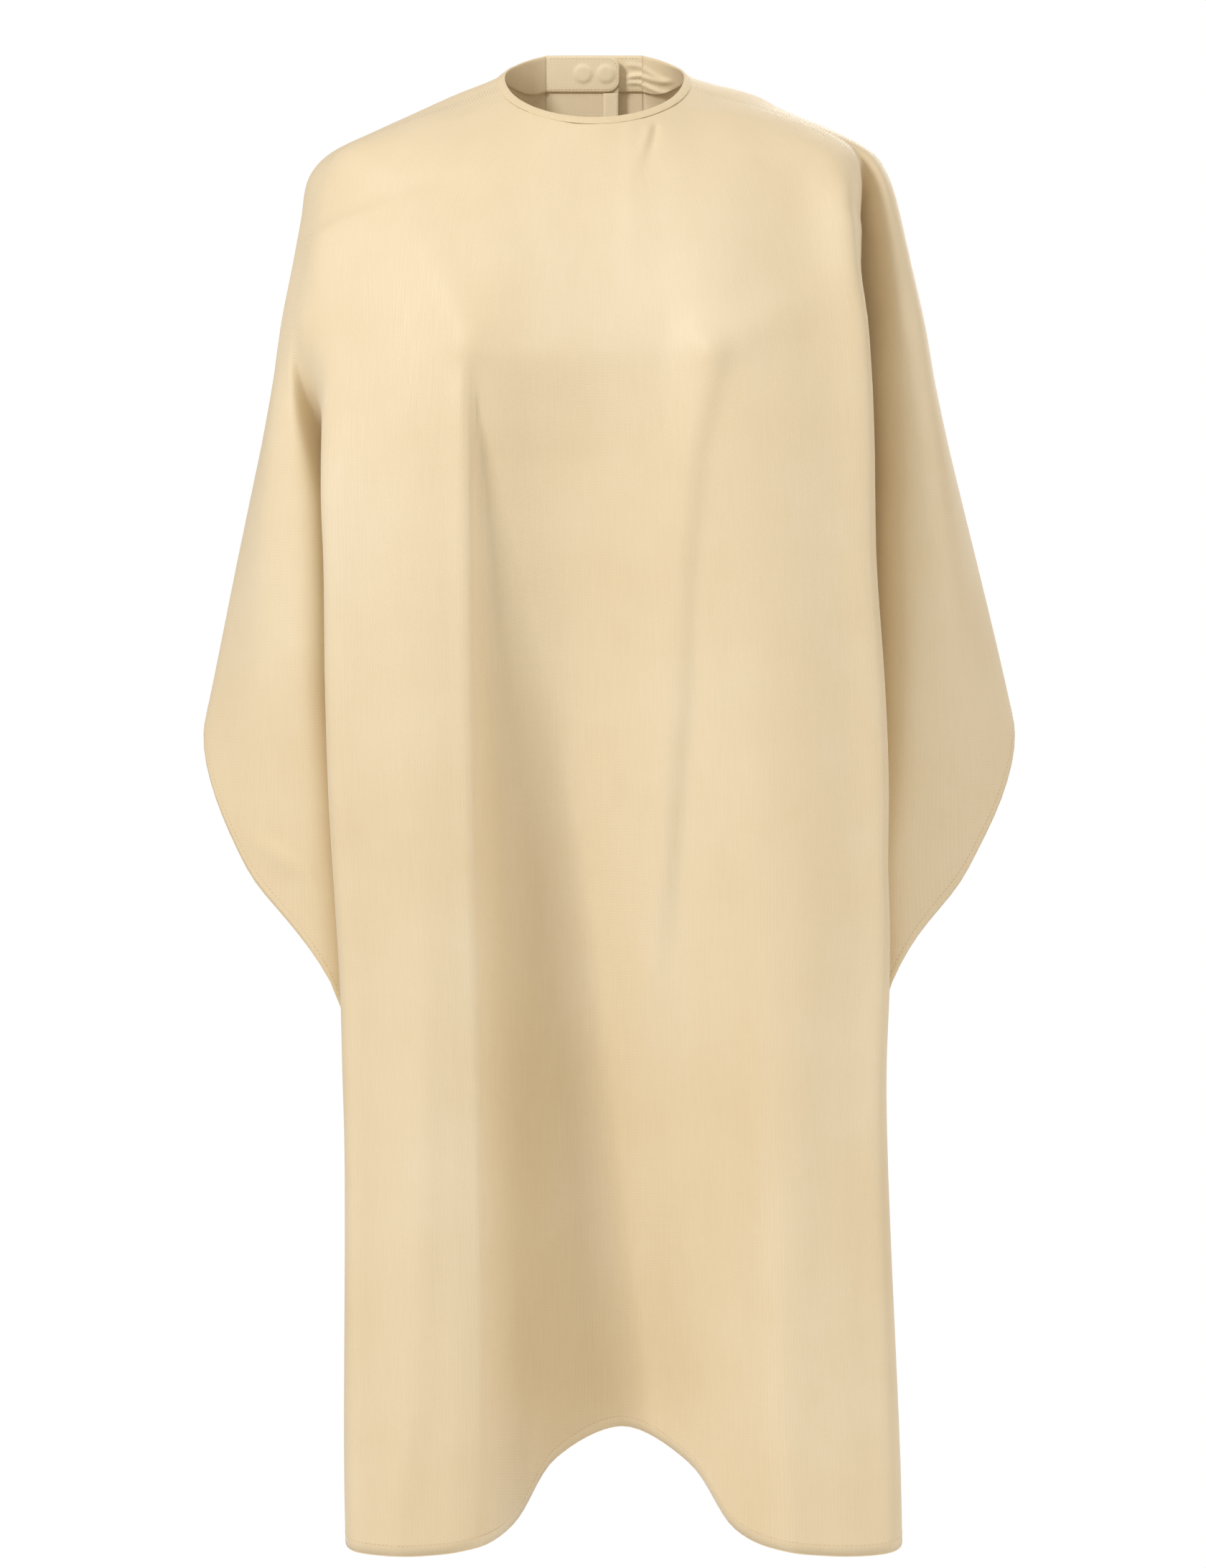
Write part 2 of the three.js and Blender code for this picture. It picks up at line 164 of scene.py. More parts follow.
@dataclass(frozen=True)
class SoftFold:
    """A soft ridge (or hollow) down the front, given by points of its line, its heights and widths.

    Its profile is steeper on one side where skew is not zero.
    """

    line: tuple[tuple[float, float], ...]
    rise: tuple[float, ...]
    width: tuple[float, ...]
    skew: float = 0.0

    def height(self, across: np.ndarray, up: np.ndarray) -> np.ndarray:
        """How far the fold moves each point outwards.

        Args:
            across: The points' places from side to side.
            up: The points' heights.

        Returns:
            The outward distance at each point.
        """
        best = np.full(across.shape, np.inf)
        total = np.zeros(across.shape)
        line = np.array(self.line) * MM
        for k in range(len(line) - 1):
            a, b = line[k], line[k + 1]
            run = b - a
            t = np.clip(((across - a[0]) * run[0] + (up - a[1]) * run[1]) / (run @ run), 0, 1)
            dx, dz = across - a[0] - t * run[0], up - a[1] - t * run[1]
            off = np.hypot(dx, dz)
            width = mix(self.width[k], self.width[k + 1], t) * MM
            width = width * (1 + self.skew * np.tanh(dx / width))
            value = mix(self.rise[k], self.rise[k + 1], t) * MM * bell(off, 0, width)
            total = np.where(off < best, value, total)
            best = np.minimum(best, off)
        return total


@dataclass(frozen=True)
class Trough:
    """The long hollow down the front: a steep wall on the left and a floor that falls to the right.

    Each row gives a height, the wall's near and far edge, the lowest place, the far rim, the wall's
    depth and how much deeper the lowest place is.
    """

    rows: tuple[tuple[float, float, float, float, float, float, float], ...]

    def height(self, across: np.ndarray, up: np.ndarray) -> np.ndarray:
        """How far the hollow moves each point outwards; it is nowhere above zero.

        Args:
            across: The points' places from side to side.
            up: The points' heights.

        Returns:
            The outward distance at each point.
        """
        table = np.array(self.rows[::-1]) * MM
        near, wall, low, rim, depth, more = (
            np.interp(up, table[:, 0], table[:, k]) for k in range(1, 7)
        )
        falling = depth * ease((across - near) / (wall - near), 0.0, 1.0)
        falling = falling + more * ease((across - wall) / (low - wall), -0.2, 1.0)
        return -falling * (1 - ease((across - low) / (rim - low), -0.1, 1.0))


@dataclass(frozen=True)
class SideCreases:
    """The deep creases between the front panel and the wings, by angles at the neck.

    A pair is for the under side and then the over side.
    """

    pocket_angle: float = 76.5
    pocket_width: tuple[float, float] = (4.2, 3.4)
    pocket_depth: float = 0.026  # how far the pockets behind the panel's edges go back
    edge_angle: float = 62.0
    edge_width: float = 6.0
    edge_lift: float = 0.022  # how far the panel's edges stand forward of a plain curve
    tuck_angle: float = 77.0
    tuck_width: float = 4.5
    tuck: float = 0.008  # how far the pockets run in behind the panel
    flare_angle: float = 83.5
    flare_width: float = 3.0
    flare: tuple[float, float] = (0.008, 0.006)  # how far the wings' inner folds stand out
    start: tuple[float, float] = (0.18, 0.05)  # how far down the pockets start
    full: tuple[float, float] = (0.34, 0.12)  # and where they are whole


@dataclass(frozen=True)
class CapeSizes:
    """The cape's own sizes as its solid model has them, in metres and degrees."""

    neck_radius: float = 0.069
    neck_front_drop: float = 0.038
    neck_back_rise: float = 0.027
    band_front_height: float = 0.007
    band_back_height: float = 0.028
    band_front_flare: float = 34.0
    band_side_flare: float = 58.0
    back_tilt: float = 6.8
    hinge_half: float = 0.038
    cloth_thickness: float = 0.0012
    yoke_forward: float = 0.092
    yoke_drop: float = 0.095
    shoulder_half: float = 0.220
    shoulder_drop: float = 0.082
    bust_half: float = 0.094
    bust_forward: float = 0.142
    bust_drop: float = 0.220
    panel_half: float = 0.209
    panel_forward: float = 0.108
    front_drop: float = 1.117
    trough_forward: float = 0.062
    arch_half: float = 0.084
    arch_height: float = 0.080
    wing_half: float = 0.312
    wing_drop: float = 0.505
    wing_meet_drop: float = 0.694
    wrap_depth: float = 0.150
    back_drop: float = 0.356
    lean: float = 0.02
    under_outer: float = 0.0028
    over_outer: float = 0.0106
    tab_thickness: float = 0.0028
    tab_corner: float = 0.009
    over_reach: float = 0.0372
    under_reach: float = 0.0192
    flap_reach: float = 0.019
    flap_corner: float = 0.012
    snap_pitch: float = 0.018

    @property
    def hinge_angle(self) -> float:
        """The angle at the neck, from the front, of the line where a closing half folds."""
        return 180 - math.degrees(math.asin(self.hinge_half / self.neck_radius))

    @property
    def back_out(self) -> np.ndarray:
        """The way out of the flat back."""
        tilt = math.radians(self.back_tilt)
        return np.array([0, math.cos(tilt), math.sin(tilt)])

    @property
    def back_down(self) -> np.ndarray:
        """The way down the flat back."""
        tilt = math.radians(self.back_tilt)
        return np.array([0, math.sin(tilt), -math.cos(tilt)])

    @property
    def back_top(self) -> np.ndarray:
        """The top of the nape, in the middle."""
        turn = math.cos(math.radians(self.hinge_angle))
        return np.array([0, -self.neck_radius * turn, -self.neck_back_rise * turn])


class Side(Enum):
    """The two closing halves: the over half lies outside the under half."""

    OVER = 1
    UNDER = -1

    @property
    def word(self) -> str:
        """The half's name in piece names."""
        return self.name.lower()


@dataclass
class Drape:
    """The hanging sheet: points from the under hinge round the front to the over hinge."""

    sizes: CapeSizes = field(default_factory=CapeSizes)
    steps: int = 8  # columns between one thread line and the next
    rows_above: int = 64
    rows_below: int = 104
    tuck: float = 0.003  # cloth hidden inside the neck band
    folds: tuple[SoftFold | Trough, ...] = ()
    creases: SideCreases = field(default_factory=SideCreases)

    def outer(self, side: int) -> float:
        """The level of a half's outer face, outwards from the inner face of the under tab."""
        return self.sizes.over_outer if side > 0 else self.sizes.under_outer

    def back_point(self, across: float, down: float, level: float) -> np.ndarray:
        """A point of the flat back: across, down from the top of the nape, and outwards."""
        s = self.sizes
        return np.array([across, 0, 0]) + s.back_top + s.back_down * down + s.back_out * level

    def neck_edge(self, side: int, angle: float) -> NeckPlace:
        """The neck edge at an angle from the front.

        Args:
            side: 1 for the over side and -1 for the under side.
            angle: Degrees round the neck from the middle of the front.

        Returns:
            The band's top and foot there, the way down it, and how far round to the back it is.
        """
        s = self.sizes
        turn = math.radians(angle)
        to_back = ease(angle, 90, s.hinge_angle)
        radial = np.array([side * math.sin(turn), -math.cos(turn), 0.0])
        top = radial * s.neck_radius
        top[2] = -mix(s.neck_front_drop, s.neck_back_rise, ease(angle, 60, 120)) * math.cos(turn)
        flare = mix(s.band_front_flare, s.band_side_flare, math.sin(turn) ** 2)
        flare = math.radians(mix(flare, s.back_tilt, to_back))
        top = top + s.back_out * to_back * self.outer(side)
        outward = radial + (np.array([0, 1.0, 0]) - radial) * to_back
        down = outward / np.linalg.norm(outward) * math.sin(flare)
        down[2] = -math.cos(flare)
        height = mix(s.band_front_height, s.band_back_height, ease(angle, 95, s.hinge_angle - 8))
        return NeckPlace(top, top + down * height, down, float(to_back))

    def side_threads(self, side: int) -> list[tuple[float, list[np.ndarray]]]:
        """The thread lines of one side, from beside the middle of the front to the hinge line.

        Args:
            side: 1 for the over side and -1 for the under side.

        Returns:
            Each line's angle at the neck, with its neck, yoke, chest and hem points.
        """
        s = self.sizes

        def at(out: float, forward: float, drop: float) -> np.ndarray:
            """A point by its way out to this side, forward and down, leaning with the cape."""
            return np.array([side * out + s.lean * drop, -forward, -drop])

        arch_top = s.front_drop - s.arch_height
        chest = s.bust_drop + 0.028
        level = self.outer(side) - s.cloth_thickness / 2
        back_hem = s.back_drop - s.back_top[2]
        wing_mid = 0.5 * (s.shoulder_half + s.wing_half)
        hinge = [self.back_point(side * s.hinge_half, d, level) for d in (0.062, 0.16, s.back_drop)]
        lines = [
            (18, at(0.4 * s.bust_half, s.yoke_forward, s.yoke_drop - 0.002),
             at(0.5 * s.bust_half, s.bust_forward - 0.005, s.bust_drop + 0.008),
             at(0.6 * s.arch_half, s.trough_forward + 0.005, arch_top + 0.28 * s.arch_height)),
            (28, at(0.7 * s.bust_half, s.yoke_forward - 0.002, s.yoke_drop - 0.005),
             at(0.88 * s.bust_half, s.bust_forward, s.bust_drop),
             at(s.arch_half, s.trough_forward + 0.04, arch_top + 0.85 * s.arch_height)),
            (38, at(s.bust_half, s.yoke_forward - 0.008, s.yoke_drop - 0.008),
             at(1.25 * s.bust_half, s.bust_forward - 0.004, s.bust_drop + 0.002),
             at(1.5 * s.arch_half, s.bust_forward + 0.006, s.front_drop)),
            (52, at(0.68 * s.shoulder_half, s.yoke_forward - 0.026, s.shoulder_drop + 0.006),
             at(0.8 * s.panel_half, s.panel_forward + 0.012, s.bust_drop + 0.005),
             at(0.86 * s.panel_half, s.panel_forward + 0.036, s.front_drop + 0.003)),
            (62, at(0.85 * s.shoulder_half, s.yoke_forward - 0.046, s.shoulder_drop + 0.002),
             at(s.panel_half, s.panel_forward - 0.024, s.bust_drop + 0.012),
             at(s.panel_half, s.panel_forward, s.front_drop)),
            (68, at(0.91 * s.shoulder_half, s.yoke_forward - 0.058, s.shoulder_drop + 0.001),
             at(s.panel_half - 0.003, s.panel_forward - 0.052, s.bust_drop + 0.02),
             at(s.panel_half + 0.003, s.panel_forward - 0.45 * s.wrap_depth, s.front_drop - 0.008)),
            (74, at(0.94 * s.shoulder_half, s.yoke_forward - 0.07, s.shoulder_drop),
             at(s.panel_half - 0.008, s.panel_forward - 0.082, s.bust_drop + 0.025),
             at(s.panel_half - 0.01, s.panel_forward - s.wrap_depth, s.front_drop - 0.018)),
            (78, at(0.955 * s.shoulder_half, s.yoke_forward - 0.078, s.shoulder_drop),
             at(s.panel_half - 0.002, s.panel_forward - 0.086, chest),
             at(s.panel_half - 0.012, s.panel_forward - 0.8 * s.wrap_depth,
                0.5 * (s.wing_meet_drop + s.front_drop))),
            (83, at(0.97 * s.shoulder_half, s.yoke_forward - 0.084, s.shoulder_drop),
             at(s.panel_half + 0.014, s.panel_forward - 0.05, chest),
             at(s.panel_half, s.panel_forward - 0.062, s.wing_meet_drop)),
            (90, at(0.99 * s.shoulder_half, s.yoke_forward - 0.096, s.shoulder_drop),
             at(s.panel_half + 0.036, s.panel_forward - 0.062, chest),
             at(0.5 * (s.panel_half + s.wing_half) + 0.018, s.panel_forward - 0.088,
                0.5 * (s.wing_meet_drop + s.wing_drop) + 0.008)),
            (100, at(s.shoulder_half, -0.02, s.shoulder_drop),
             at(wing_mid - 0.014, -0.014, chest - 0.004),
             at(s.wing_half, -0.024, s.wing_drop)),
            (112, at(0.975 * s.shoulder_half, -0.044, s.shoulder_drop),
             at(wing_mid - 0.02, -0.048, chest - 0.02),
             at(s.wing_half - 0.024, -0.064, s.wing_drop - 0.055)),
            (126, at(0.8 * s.shoulder_half, -0.068, s.shoulder_drop),
             at(0.9 * s.shoulder_half, -0.088, s.bust_drop - 0.025),
             at(0.67 * s.wing_half, -0.1, back_hem + 0.048)),
            (138, at(0.48 * s.shoulder_half, -0.076, s.shoulder_drop - 0.005),
             at(0.55 * s.shoulder_half, -0.096, s.bust_drop - 0.06),
             at(0.42 * s.wing_half, -0.112, back_hem + 0.01)),
            (s.hinge_angle, *hinge),
        ]
        return [(angle, [self.neck_edge(side, angle).foot, *rest]) for angle, *rest in lines]

    def __post_init__(self) -> None:
        """Lays out the grid, its outward directions and the frame at the neck, and folds it."""
        s = self.sizes
        centre = [
            self.neck_edge(1, 0).foot,
            np.array([s.lean * s.yoke_drop, -s.yoke_forward, -s.yoke_drop]),
            np.array([s.lean * (s.bust_drop + 0.014), 0.008 - s.bust_forward,
                      -s.bust_drop - 0.014]),
            np.array([s.lean * (s.front_drop - s.arch_height), -s.trough_forward,
                      s.arch_height - s.front_drop]),
        ]
        lines = [*reversed(self.side_threads(-1)), (0.0, centre), *self.side_threads(1)]
        angles = np.array([angle for angle, _ in lines])
        rings = np.array([points for _, points in lines]).transpose(1, 0, 2)
        count = (len(lines) - 1) * self.steps
        ringed = np.array([through(ring, np.arange(count + 1) / count) for ring in rings])
        chest = 2 / 3
        above = chest * np.arange(self.rows_above + 1) / self.rows_above
        below = chest + (1 - chest) * np.arange(1, self.rows_below + 1) / self.rows_below
        self.grid = through(ringed, [*above, *below]).transpose(1, 0, 2)
        place = np.arange(count + 1) / self.steps
        self.angles = np.interp(place, np.arange(len(lines)), angles)
        self.sides = [-1 if i < count / 2 else 1 for i in range(count + 1)]
        self.neck = [self.neck_edge(side, a) for side, a in zip(self.sides, self.angles)]
        self.out = self.outward(self.grid)
        self.fold()
        self.out = self.outward(self.grid)

    def outward(self, grid: np.ndarray) -> np.ndarray:
        """The ways out of the cloth.

        Args:
            grid: The cloth's points by column and row.

        Returns:
            A unit direction at each point.
        """
        across = np.gradient(grid, axis=0)
        down = np.gradient(grid, axis=1)
        out = np.cross(down, across)
        out /= np.linalg.norm(out, axis=-1, keepdims=True)
        out[0] = out[-1] = self.sizes.back_out
        return out

    def back_wave(self, across: np.ndarray, drop: np.ndarray) -> np.ndarray:
        """How far the loose cloth of the back swings outwards.

        Args:
            across: Places from side to side.
            drop: How far below the nape they are.

        Returns:
            The outward distance at each place.
        """
        free = ease(drop, 0.07, 0.36)
        slow = np.sin(across * 46 + 1.1) * 0.0042 + np.sin(across * 97 - drop * 5 + 0.4) * 0.0016
        return free * slow

    def fold(self) -> None:
        """Moves the grid's points by the folds of the front and sides and the waves of the back."""
        crease = self.creases
        across, up = self.grid[..., 0], self.grid[..., 2]
        fronts = ease(-self.out[..., 1], 0.15, 0.6)
        forward = sum((f.height(across, up) for f in self.folds), self.hang(across, up)) * fronts
        backs = ease(self.out[..., 1], 0.3, 0.8) * self.back_wave(across, -up)
        moved = self.grid + self.out * backs[..., None]
        moved[..., 1] -= forward
        sides = np.array(self.sides)[:, None]
        right = sides > 0
        angle = self.angles[:, None]
        low = ease(-up, np.where(right, *crease.start[::-1]), np.where(right, *crease.full[::-1]))
        wide = np.where(right, *crease.pocket_width[::-1])
        pocket = bell(angle, crease.pocket_angle, wide) * crease.pocket_depth
        edge = bell(angle, crease.edge_angle, crease.edge_width) * crease.edge_lift
        moved[..., 1] += low * (pocket - edge)
        # The pockets run in behind the panel's edges, and the lower sides draw in.
        panel = ease(angle, 25, 58) * (1 - ease(angle, 76, 84))
        drawn = by_side(EDGES, up, right) * panel
        drawn = drawn + low * crease.tuck * bell(angle, crease.tuck_angle, crease.tuck_width)
        flare = np.where(right, *crease.flare[::-1])
        flare = flare * bell(angle, crease.flare_angle, crease.flare_width)
        moved[..., 0] += sides * (flare * ease(-up, 0.34, 0.5) - drawn)
        self.grid = self.outlined(self.filled(moved), right)

    def filled(self, grid: np.ndarray) -> np.ndarray:
        """Rounds the top of the under side's arm, where the cloth hangs without a pocket.

        Args:
            grid: The points.

        Returns:
            The moved points.
        """
        made = grid.copy()
        left = [i for i, side in enumerate(self.sides) if side < 0 and 56 <= self.angles[i] <= 93]
        share = self.angles[left] - self.angles[left[-1]]
        share = (share / share[0])[:, None, None]
        chord = mix(grid[left[-1]][None], grid[left[0]][None], share)
        chord = chord + np.array([-0.009, -0.007, 0.0]) * np.sin(math.pi * share)
        up = grid[left][..., 2:]
        full = (1 - ease(-up, 0.19, 0.34)) * ease(-up, 0.06, 0.10)
        made[left] = mix(grid[left], chord, full)
        return made

    def outlined(self, grid: np.ndarray, right: np.ndarray) -> np.ndarray:
        """Straightens the shoulders' slopes down to a corner and settles the wings' width.

        Args:
            grid: The points.
            right: Whether each column is on the over side.

        Returns:
            The moved points.
        """
        made = grid.copy()
        far, up = np.abs(grid[..., 0]), grid[..., 2]
        raised = np.where(right, 0.010, 0.005) * ease(far, 0.06, 0.14) * ease(up, -0.17, -0.06)
        made[..., 2] += raised
        up = made[..., 2]
        low = ease(-up, 0.07, 0.13)
        reach = ease((far - mix(0.075, 0.205, low)) / mix(0.035, 0.03, low), 0.0, 1.0)
        made[..., 0] += reach * np.where(right, 1, -1) * by_side(OUTLINE, up, right)
        return made

    def wrinkles(self, across: np.ndarray, drop: np.ndarray) -> np.ndarray:
        """How far the inner cloth at the nape bunches inwards, in soft rolls on the over side.

        Args:
            across: The points' places from side to side.
            drop: How far down the band they are.

        Returns:
            The inward distance at each point.
        """
        window = ease(across, 0.021, 0.030) * (1 - ease(across, 0.054, 0.066))
        sway = 0.0012 * np.sin(across * 150)
        rolls = (
            (0.0100 + 0.16 * (across - 0.038), 0.0022, 0.0012),
            (0.0165 - 0.10 * (across - 0.038), 0.0020, 0.0022),
            (0.0225 + 0.05 * (across - 0.038), 0.0018, 0.0018),
        )
        return window * sum(high * bell(drop, at + sway, wide) for at, wide, high in rolls)

    def hang(self, across: np.ndarray, up: np.ndarray) -> np.ndarray:
        """The faint upright waves of cloth that hangs free below the chest.

        Args:
            across: The points' places from side to side.
            up: The points' heights.

        Returns:
            The outward distance at each point.
        """
        free = ease(-up, 0.2, 1.1)
        slow = np.sin(across * 88 + 1.3 * np.sin(up * 4.1) + 0.7) * 1.5
        quick = np.sin(across * 171 + 2.1 * np.sin(up * 3.3 + 1) + 2.0) * 0.45
        gathers = np.sin(across * 133 + up * 9 + 0.5) * 0.35 * ease(up, -0.2, -0.05)
        return (free * (slow + quick) + gathers) * MM

    def cloth(self) -> tuple[np.ndarray, np.ndarray]:
        """The whole cloth's points, with the cloth hidden in the neck band, and its flat lengths.

        Returns:
            The points by column and row, and the metres across and down the cloth at each.
        """
        hidden = []
        for i, place in enumerate(self.neck):
            first = self.grid[i, 0] + self.out[i, 1] * mix(-0.0002, -0.00055, place.to_back)
            hidden.append([first - place.down * self.tuck, first])
        points = np.concatenate([np.array(hidden), self.grid[:, 1:]], axis=1)
        return points, lengths(points)


# How far the front panel's edges draw in at a height: left, then right, in millimetres.
EDGES = (
    (0, 0, 0),
    (-60, 0, 4),
    (-140, 1, 12),
    (-200, 1, 6),
    (-280, 1, 8),
    (-330, 2, 10),
    (-380, 4, 11),
    (-470, 4, 8),
    (-560, 5, 5),
    (-640, 8, 4),
    (-700, 10, 7),
    (-760, 10, 10),
    (-820, 10, 10),
    (-1050, 4, 4),
    (-1130, 4, 4),
)
# How much wider the cape is than its thread lines at a height: left, then right, in millimetres.
OUTLINE = (
    (12, 0, 0),
    (-7, 2, 5),
    (-24, -5.5, -6),
    (-40, -4.4, 0.5),
    (-57, 4, 7),
    (-73, 3.3, 4),
    (-106, -6, -1),
    (-140, -7, -1),
    (-206, 0, 5.5),
    (-338, 1.6, 6),
    (-471, 0, 4),
    (-550, 0, 0),
    (-604, 0, -4),
    (-640, 1, -3),
    (-700, 4, 0),
)


def by_side(
    table: Sequence[Sequence[float]], up: np.ndarray, right: np.ndarray
) -> np.ndarray:
    """Reads a table of heights with a left and a right value, along a smooth curve.

    Args:
        table: Rows of height, left value and right value, from the top down, in millimetres.
        up: The points' heights.
        right: Whether each column is on the over side.

    Returns:
        The value of its own side at each point, in metres.
    """
    rows = through(np.array(table) * MM, np.linspace(0, 1, 60))[::-1]
    left_value, right_value = (np.interp(up, rows[:, 0], rows[:, k]) for k in (1, 2))
    return np.where(right, right_value, left_value)


def lengths(points: np.ndarray) -> np.ndarray:
    """The metres across and down a grid of points, for a pattern that follows the cloth.

    Args:
        points: A grid of points by column and row.

    Returns:
        Two numbers at each point.
    """
    run = np.linalg.norm(np.diff(points, axis=0), axis=-1).mean(axis=1)
    fall = np.linalg.norm(np.diff(points, axis=1), axis=-1)
    across = np.concatenate([[0], np.cumsum(run)])
    down = np.concatenate([np.zeros((len(points), 1)), np.cumsum(fall, axis=1)], axis=1)
    return np.stack([np.broadcast_to(across[:, None], down.shape), down], axis=-1)


# --------------------------------------------------------------------------- finishes


class Weave(Enum):
    """How a cloth's threads lie."""

    STRAIGHT = 0.0
    BIAS = 45.0


# How many units one band of the wave node takes at a scale of 1.
WAVE_BAND = 2 * math.pi / 20


@dataclass(frozen=True)
class Finish(ABC):
    """A finish: its name, its two colours and the surface that its own kind adds."""

    name: str
    light: str
    deep: str

    @abstractmethod
    def surface(self, tree: bpy.types.NodeTree, place: bpy.types.NodeSocket) -> bpy.types.Node:
        """Adds the nodes of the surface.

        Args:
            tree: The material's node tree.
            place: The socket that gives places on the piece.

        Returns:
            The surface shader.
        """

    def colours(self) -> dict:
        """The settings of the node that mixes the two colours."""
        return {"data_type": "RGBA", 6: linear(self.light), 7: linear(self.deep)}

    def build(self) -> bpy.types.Material:
        """Makes the material.

        Returns:
            A material that ends in the finish's own surface.
        """
        material = bpy.data.materials.new(self.name)
        material.use_nodes = True
        tree = material.node_tree
        tree.nodes.clear()
        coords = add_node(tree, "ShaderNodeTexCoord")
        shader = self.surface(tree, coords.outputs["Object"])
        add_node(tree, "ShaderNodeOutputMaterial", None, {"Surface": shader.outputs["BSDF"]})
        return material


@dataclass(frozen=True)
class ClothFinish(Finish):
    """A woven cloth: its colours, its sheen, and threads that follow the piece's own cloth map.

    Threads are drawn much coarser than life, so that they show.
    """

    roughness: float
    sheen: float
    weave: Weave = Weave.STRAIGHT
    thread: float = 2.2 * MM
    relief: float = 0.10 * MM
    crumple: float = 1.2 * MM

    def surface(self, tree: bpy.types.NodeTree, place: bpy.types.NodeSocket) -> bpy.types.Node:
        """Draws a weave, slow changes of tone and faint creasing.

        Args:
            tree: The material's node tree.
            place: The socket that gives places on the piece.

        Returns:
            The surface shader.
        """
        laid = add_node(tree, "ShaderNodeUVMap", {"uv_map": UV_NAME}).outputs["UV"]
        turn = {"Rotation": (0, 0, math.radians(self.weave.value))}
        turned = add_node(tree, "ShaderNodeMapping", turn, {"Vector": laid})
        band = {"Scale": WAVE_BAND / self.thread, "Distortion": 0.6, "Detail": 1.0,
                "Detail Scale": 0.7}
        warp, weft = (
            add_node(tree, "ShaderNodeTexWave", {"bands_direction": axis, **band},
                     {"Vector": turned.outputs["Vector"]})
            for axis in ("X", "Y")
        )
        threads = add_node(
            tree, "ShaderNodeMath", {"operation": "MULTIPLY"},
            {0: warp.outputs["Fac"], 1: weft.outputs["Fac"]},
        )
        # Slubs: single threads that are a little thicker, drawn out along the warp.
        stretched = add_node(tree, "ShaderNodeMapping", {"Scale": (620, 26, 1)}, {"Vector": laid})
        slubs = add_node(
            tree, "ShaderNodeTexNoise", {"Scale": 1.0, "Detail": 2.0, "Roughness": 0.6},
            {"Vector": stretched.outputs["Vector"]},
        )
        # Slow tone: dye and wear over a hand's breadth.
        slow = add_node(
            tree, "ShaderNodeTexNoise", {"Scale": 5.5, "Detail": 4.0, "Roughness": 0.55},
            {"Vector": place},
        )
        share = add_node(
            tree, "ShaderNodeMapRange",
            {"From Min": 0.3, "From Max": 0.7, "To Min": 0.0, "To Max": 0.5},
            {"Value": slow.outputs["Fac"]},
        )
        slubbed = add_node(
            tree, "ShaderNodeMath", {"operation": "MULTIPLY_ADD", 1: 0.34},
            {0: slubs.outputs["Fac"], 2: share.outputs["Result"]},
        )
        woven = add_node(
            tree, "ShaderNodeMath", {"operation": "MULTIPLY_ADD", 1: 0.16, "use_clamp": True},
            {0: threads.outputs["Value"], 2: slubbed.outputs["Value"]},
        )
        tone = add_node(tree, "ShaderNodeMix", self.colours(), {0: woven.outputs["Value"]})
        rough = add_node(
            tree, "ShaderNodeMapRange",
            {"To Min": self.roughness - 0.07, "To Max": self.roughness + 0.09},
            {"Value": slubs.outputs["Fac"]},
        )
        # Creasing left by folding and washing, a few centimetres long.
        creases = add_node(
            tree, "ShaderNodeTexNoise",
            {"Scale": 17.0, "Detail": 3.0, "Roughness": 0.45, "Distortion": 0.4},
            {"Vector": place},
        )
        soft = add_node(
            tree, "ShaderNodeBump", {"Strength": 0.35, "Distance": self.crumple},
            {"Height": creases.outputs["Fac"]},
        )
        fine = add_node(
            tree, "ShaderNodeBump", {"Strength": 0.6, "Distance": self.relief},
            {"Height": threads.outputs["Value"], "Normal": soft.outputs["Normal"]},
        )
        return add_node(
            tree, "ShaderNodeBsdfPrincipled",
            {"Sheen Weight": self.sheen, "Sheen Roughness": 0.45, "Specular IOR Level": 0.35},
            {"Base Color": tone.outputs[2], "Roughness": rough.outputs["Result"],
             "Normal": fine.outputs["Normal"]},
        )


@dataclass(frozen=True)
class FeltFinish(Finish):
    """Non-woven interlining: short fibres pressed flat, dry and off-white."""

    name: str = "nonwoven_interlining"
    light: str = "#F4F0E4"
    deep: str = "#DED6C2"

    def surface(self, tree: bpy.types.NodeTree, place: bpy.types.NodeSocket) -> bpy.types.Node:
        """Draws a matt, fibrous mottle a few millimetres across.

        Args:
            tree: The material's node tree.
            place: The socket that gives places on the piece.

        Returns:
            The surface shader.
        """
        fibres = add_node(
            tree, "ShaderNodeTexNoise",
            {"Scale": 420.0, "Detail": 4.0, "Roughness": 0.7, "Distortion": 2.5},
            {"Vector": place},
        )
        tone = add_node(tree, "ShaderNodeMix", self.colours(), {0: fibres.outputs["Fac"]})
        bump = add_node(
            tree, "ShaderNodeBump", {"Strength": 0.5, "Distance": 0.15 * MM},
            {"Height": fibres.outputs["Fac"]},
        )
        return add_node(
            tree, "ShaderNodeBsdfPrincipled",
            {"Roughness": 0.9, "Sheen Weight": 0.1, "Specular IOR Level": 0.2},
            {"Base Color": tone.outputs[2], "Normal": bump.outputs["Normal"]},
        )


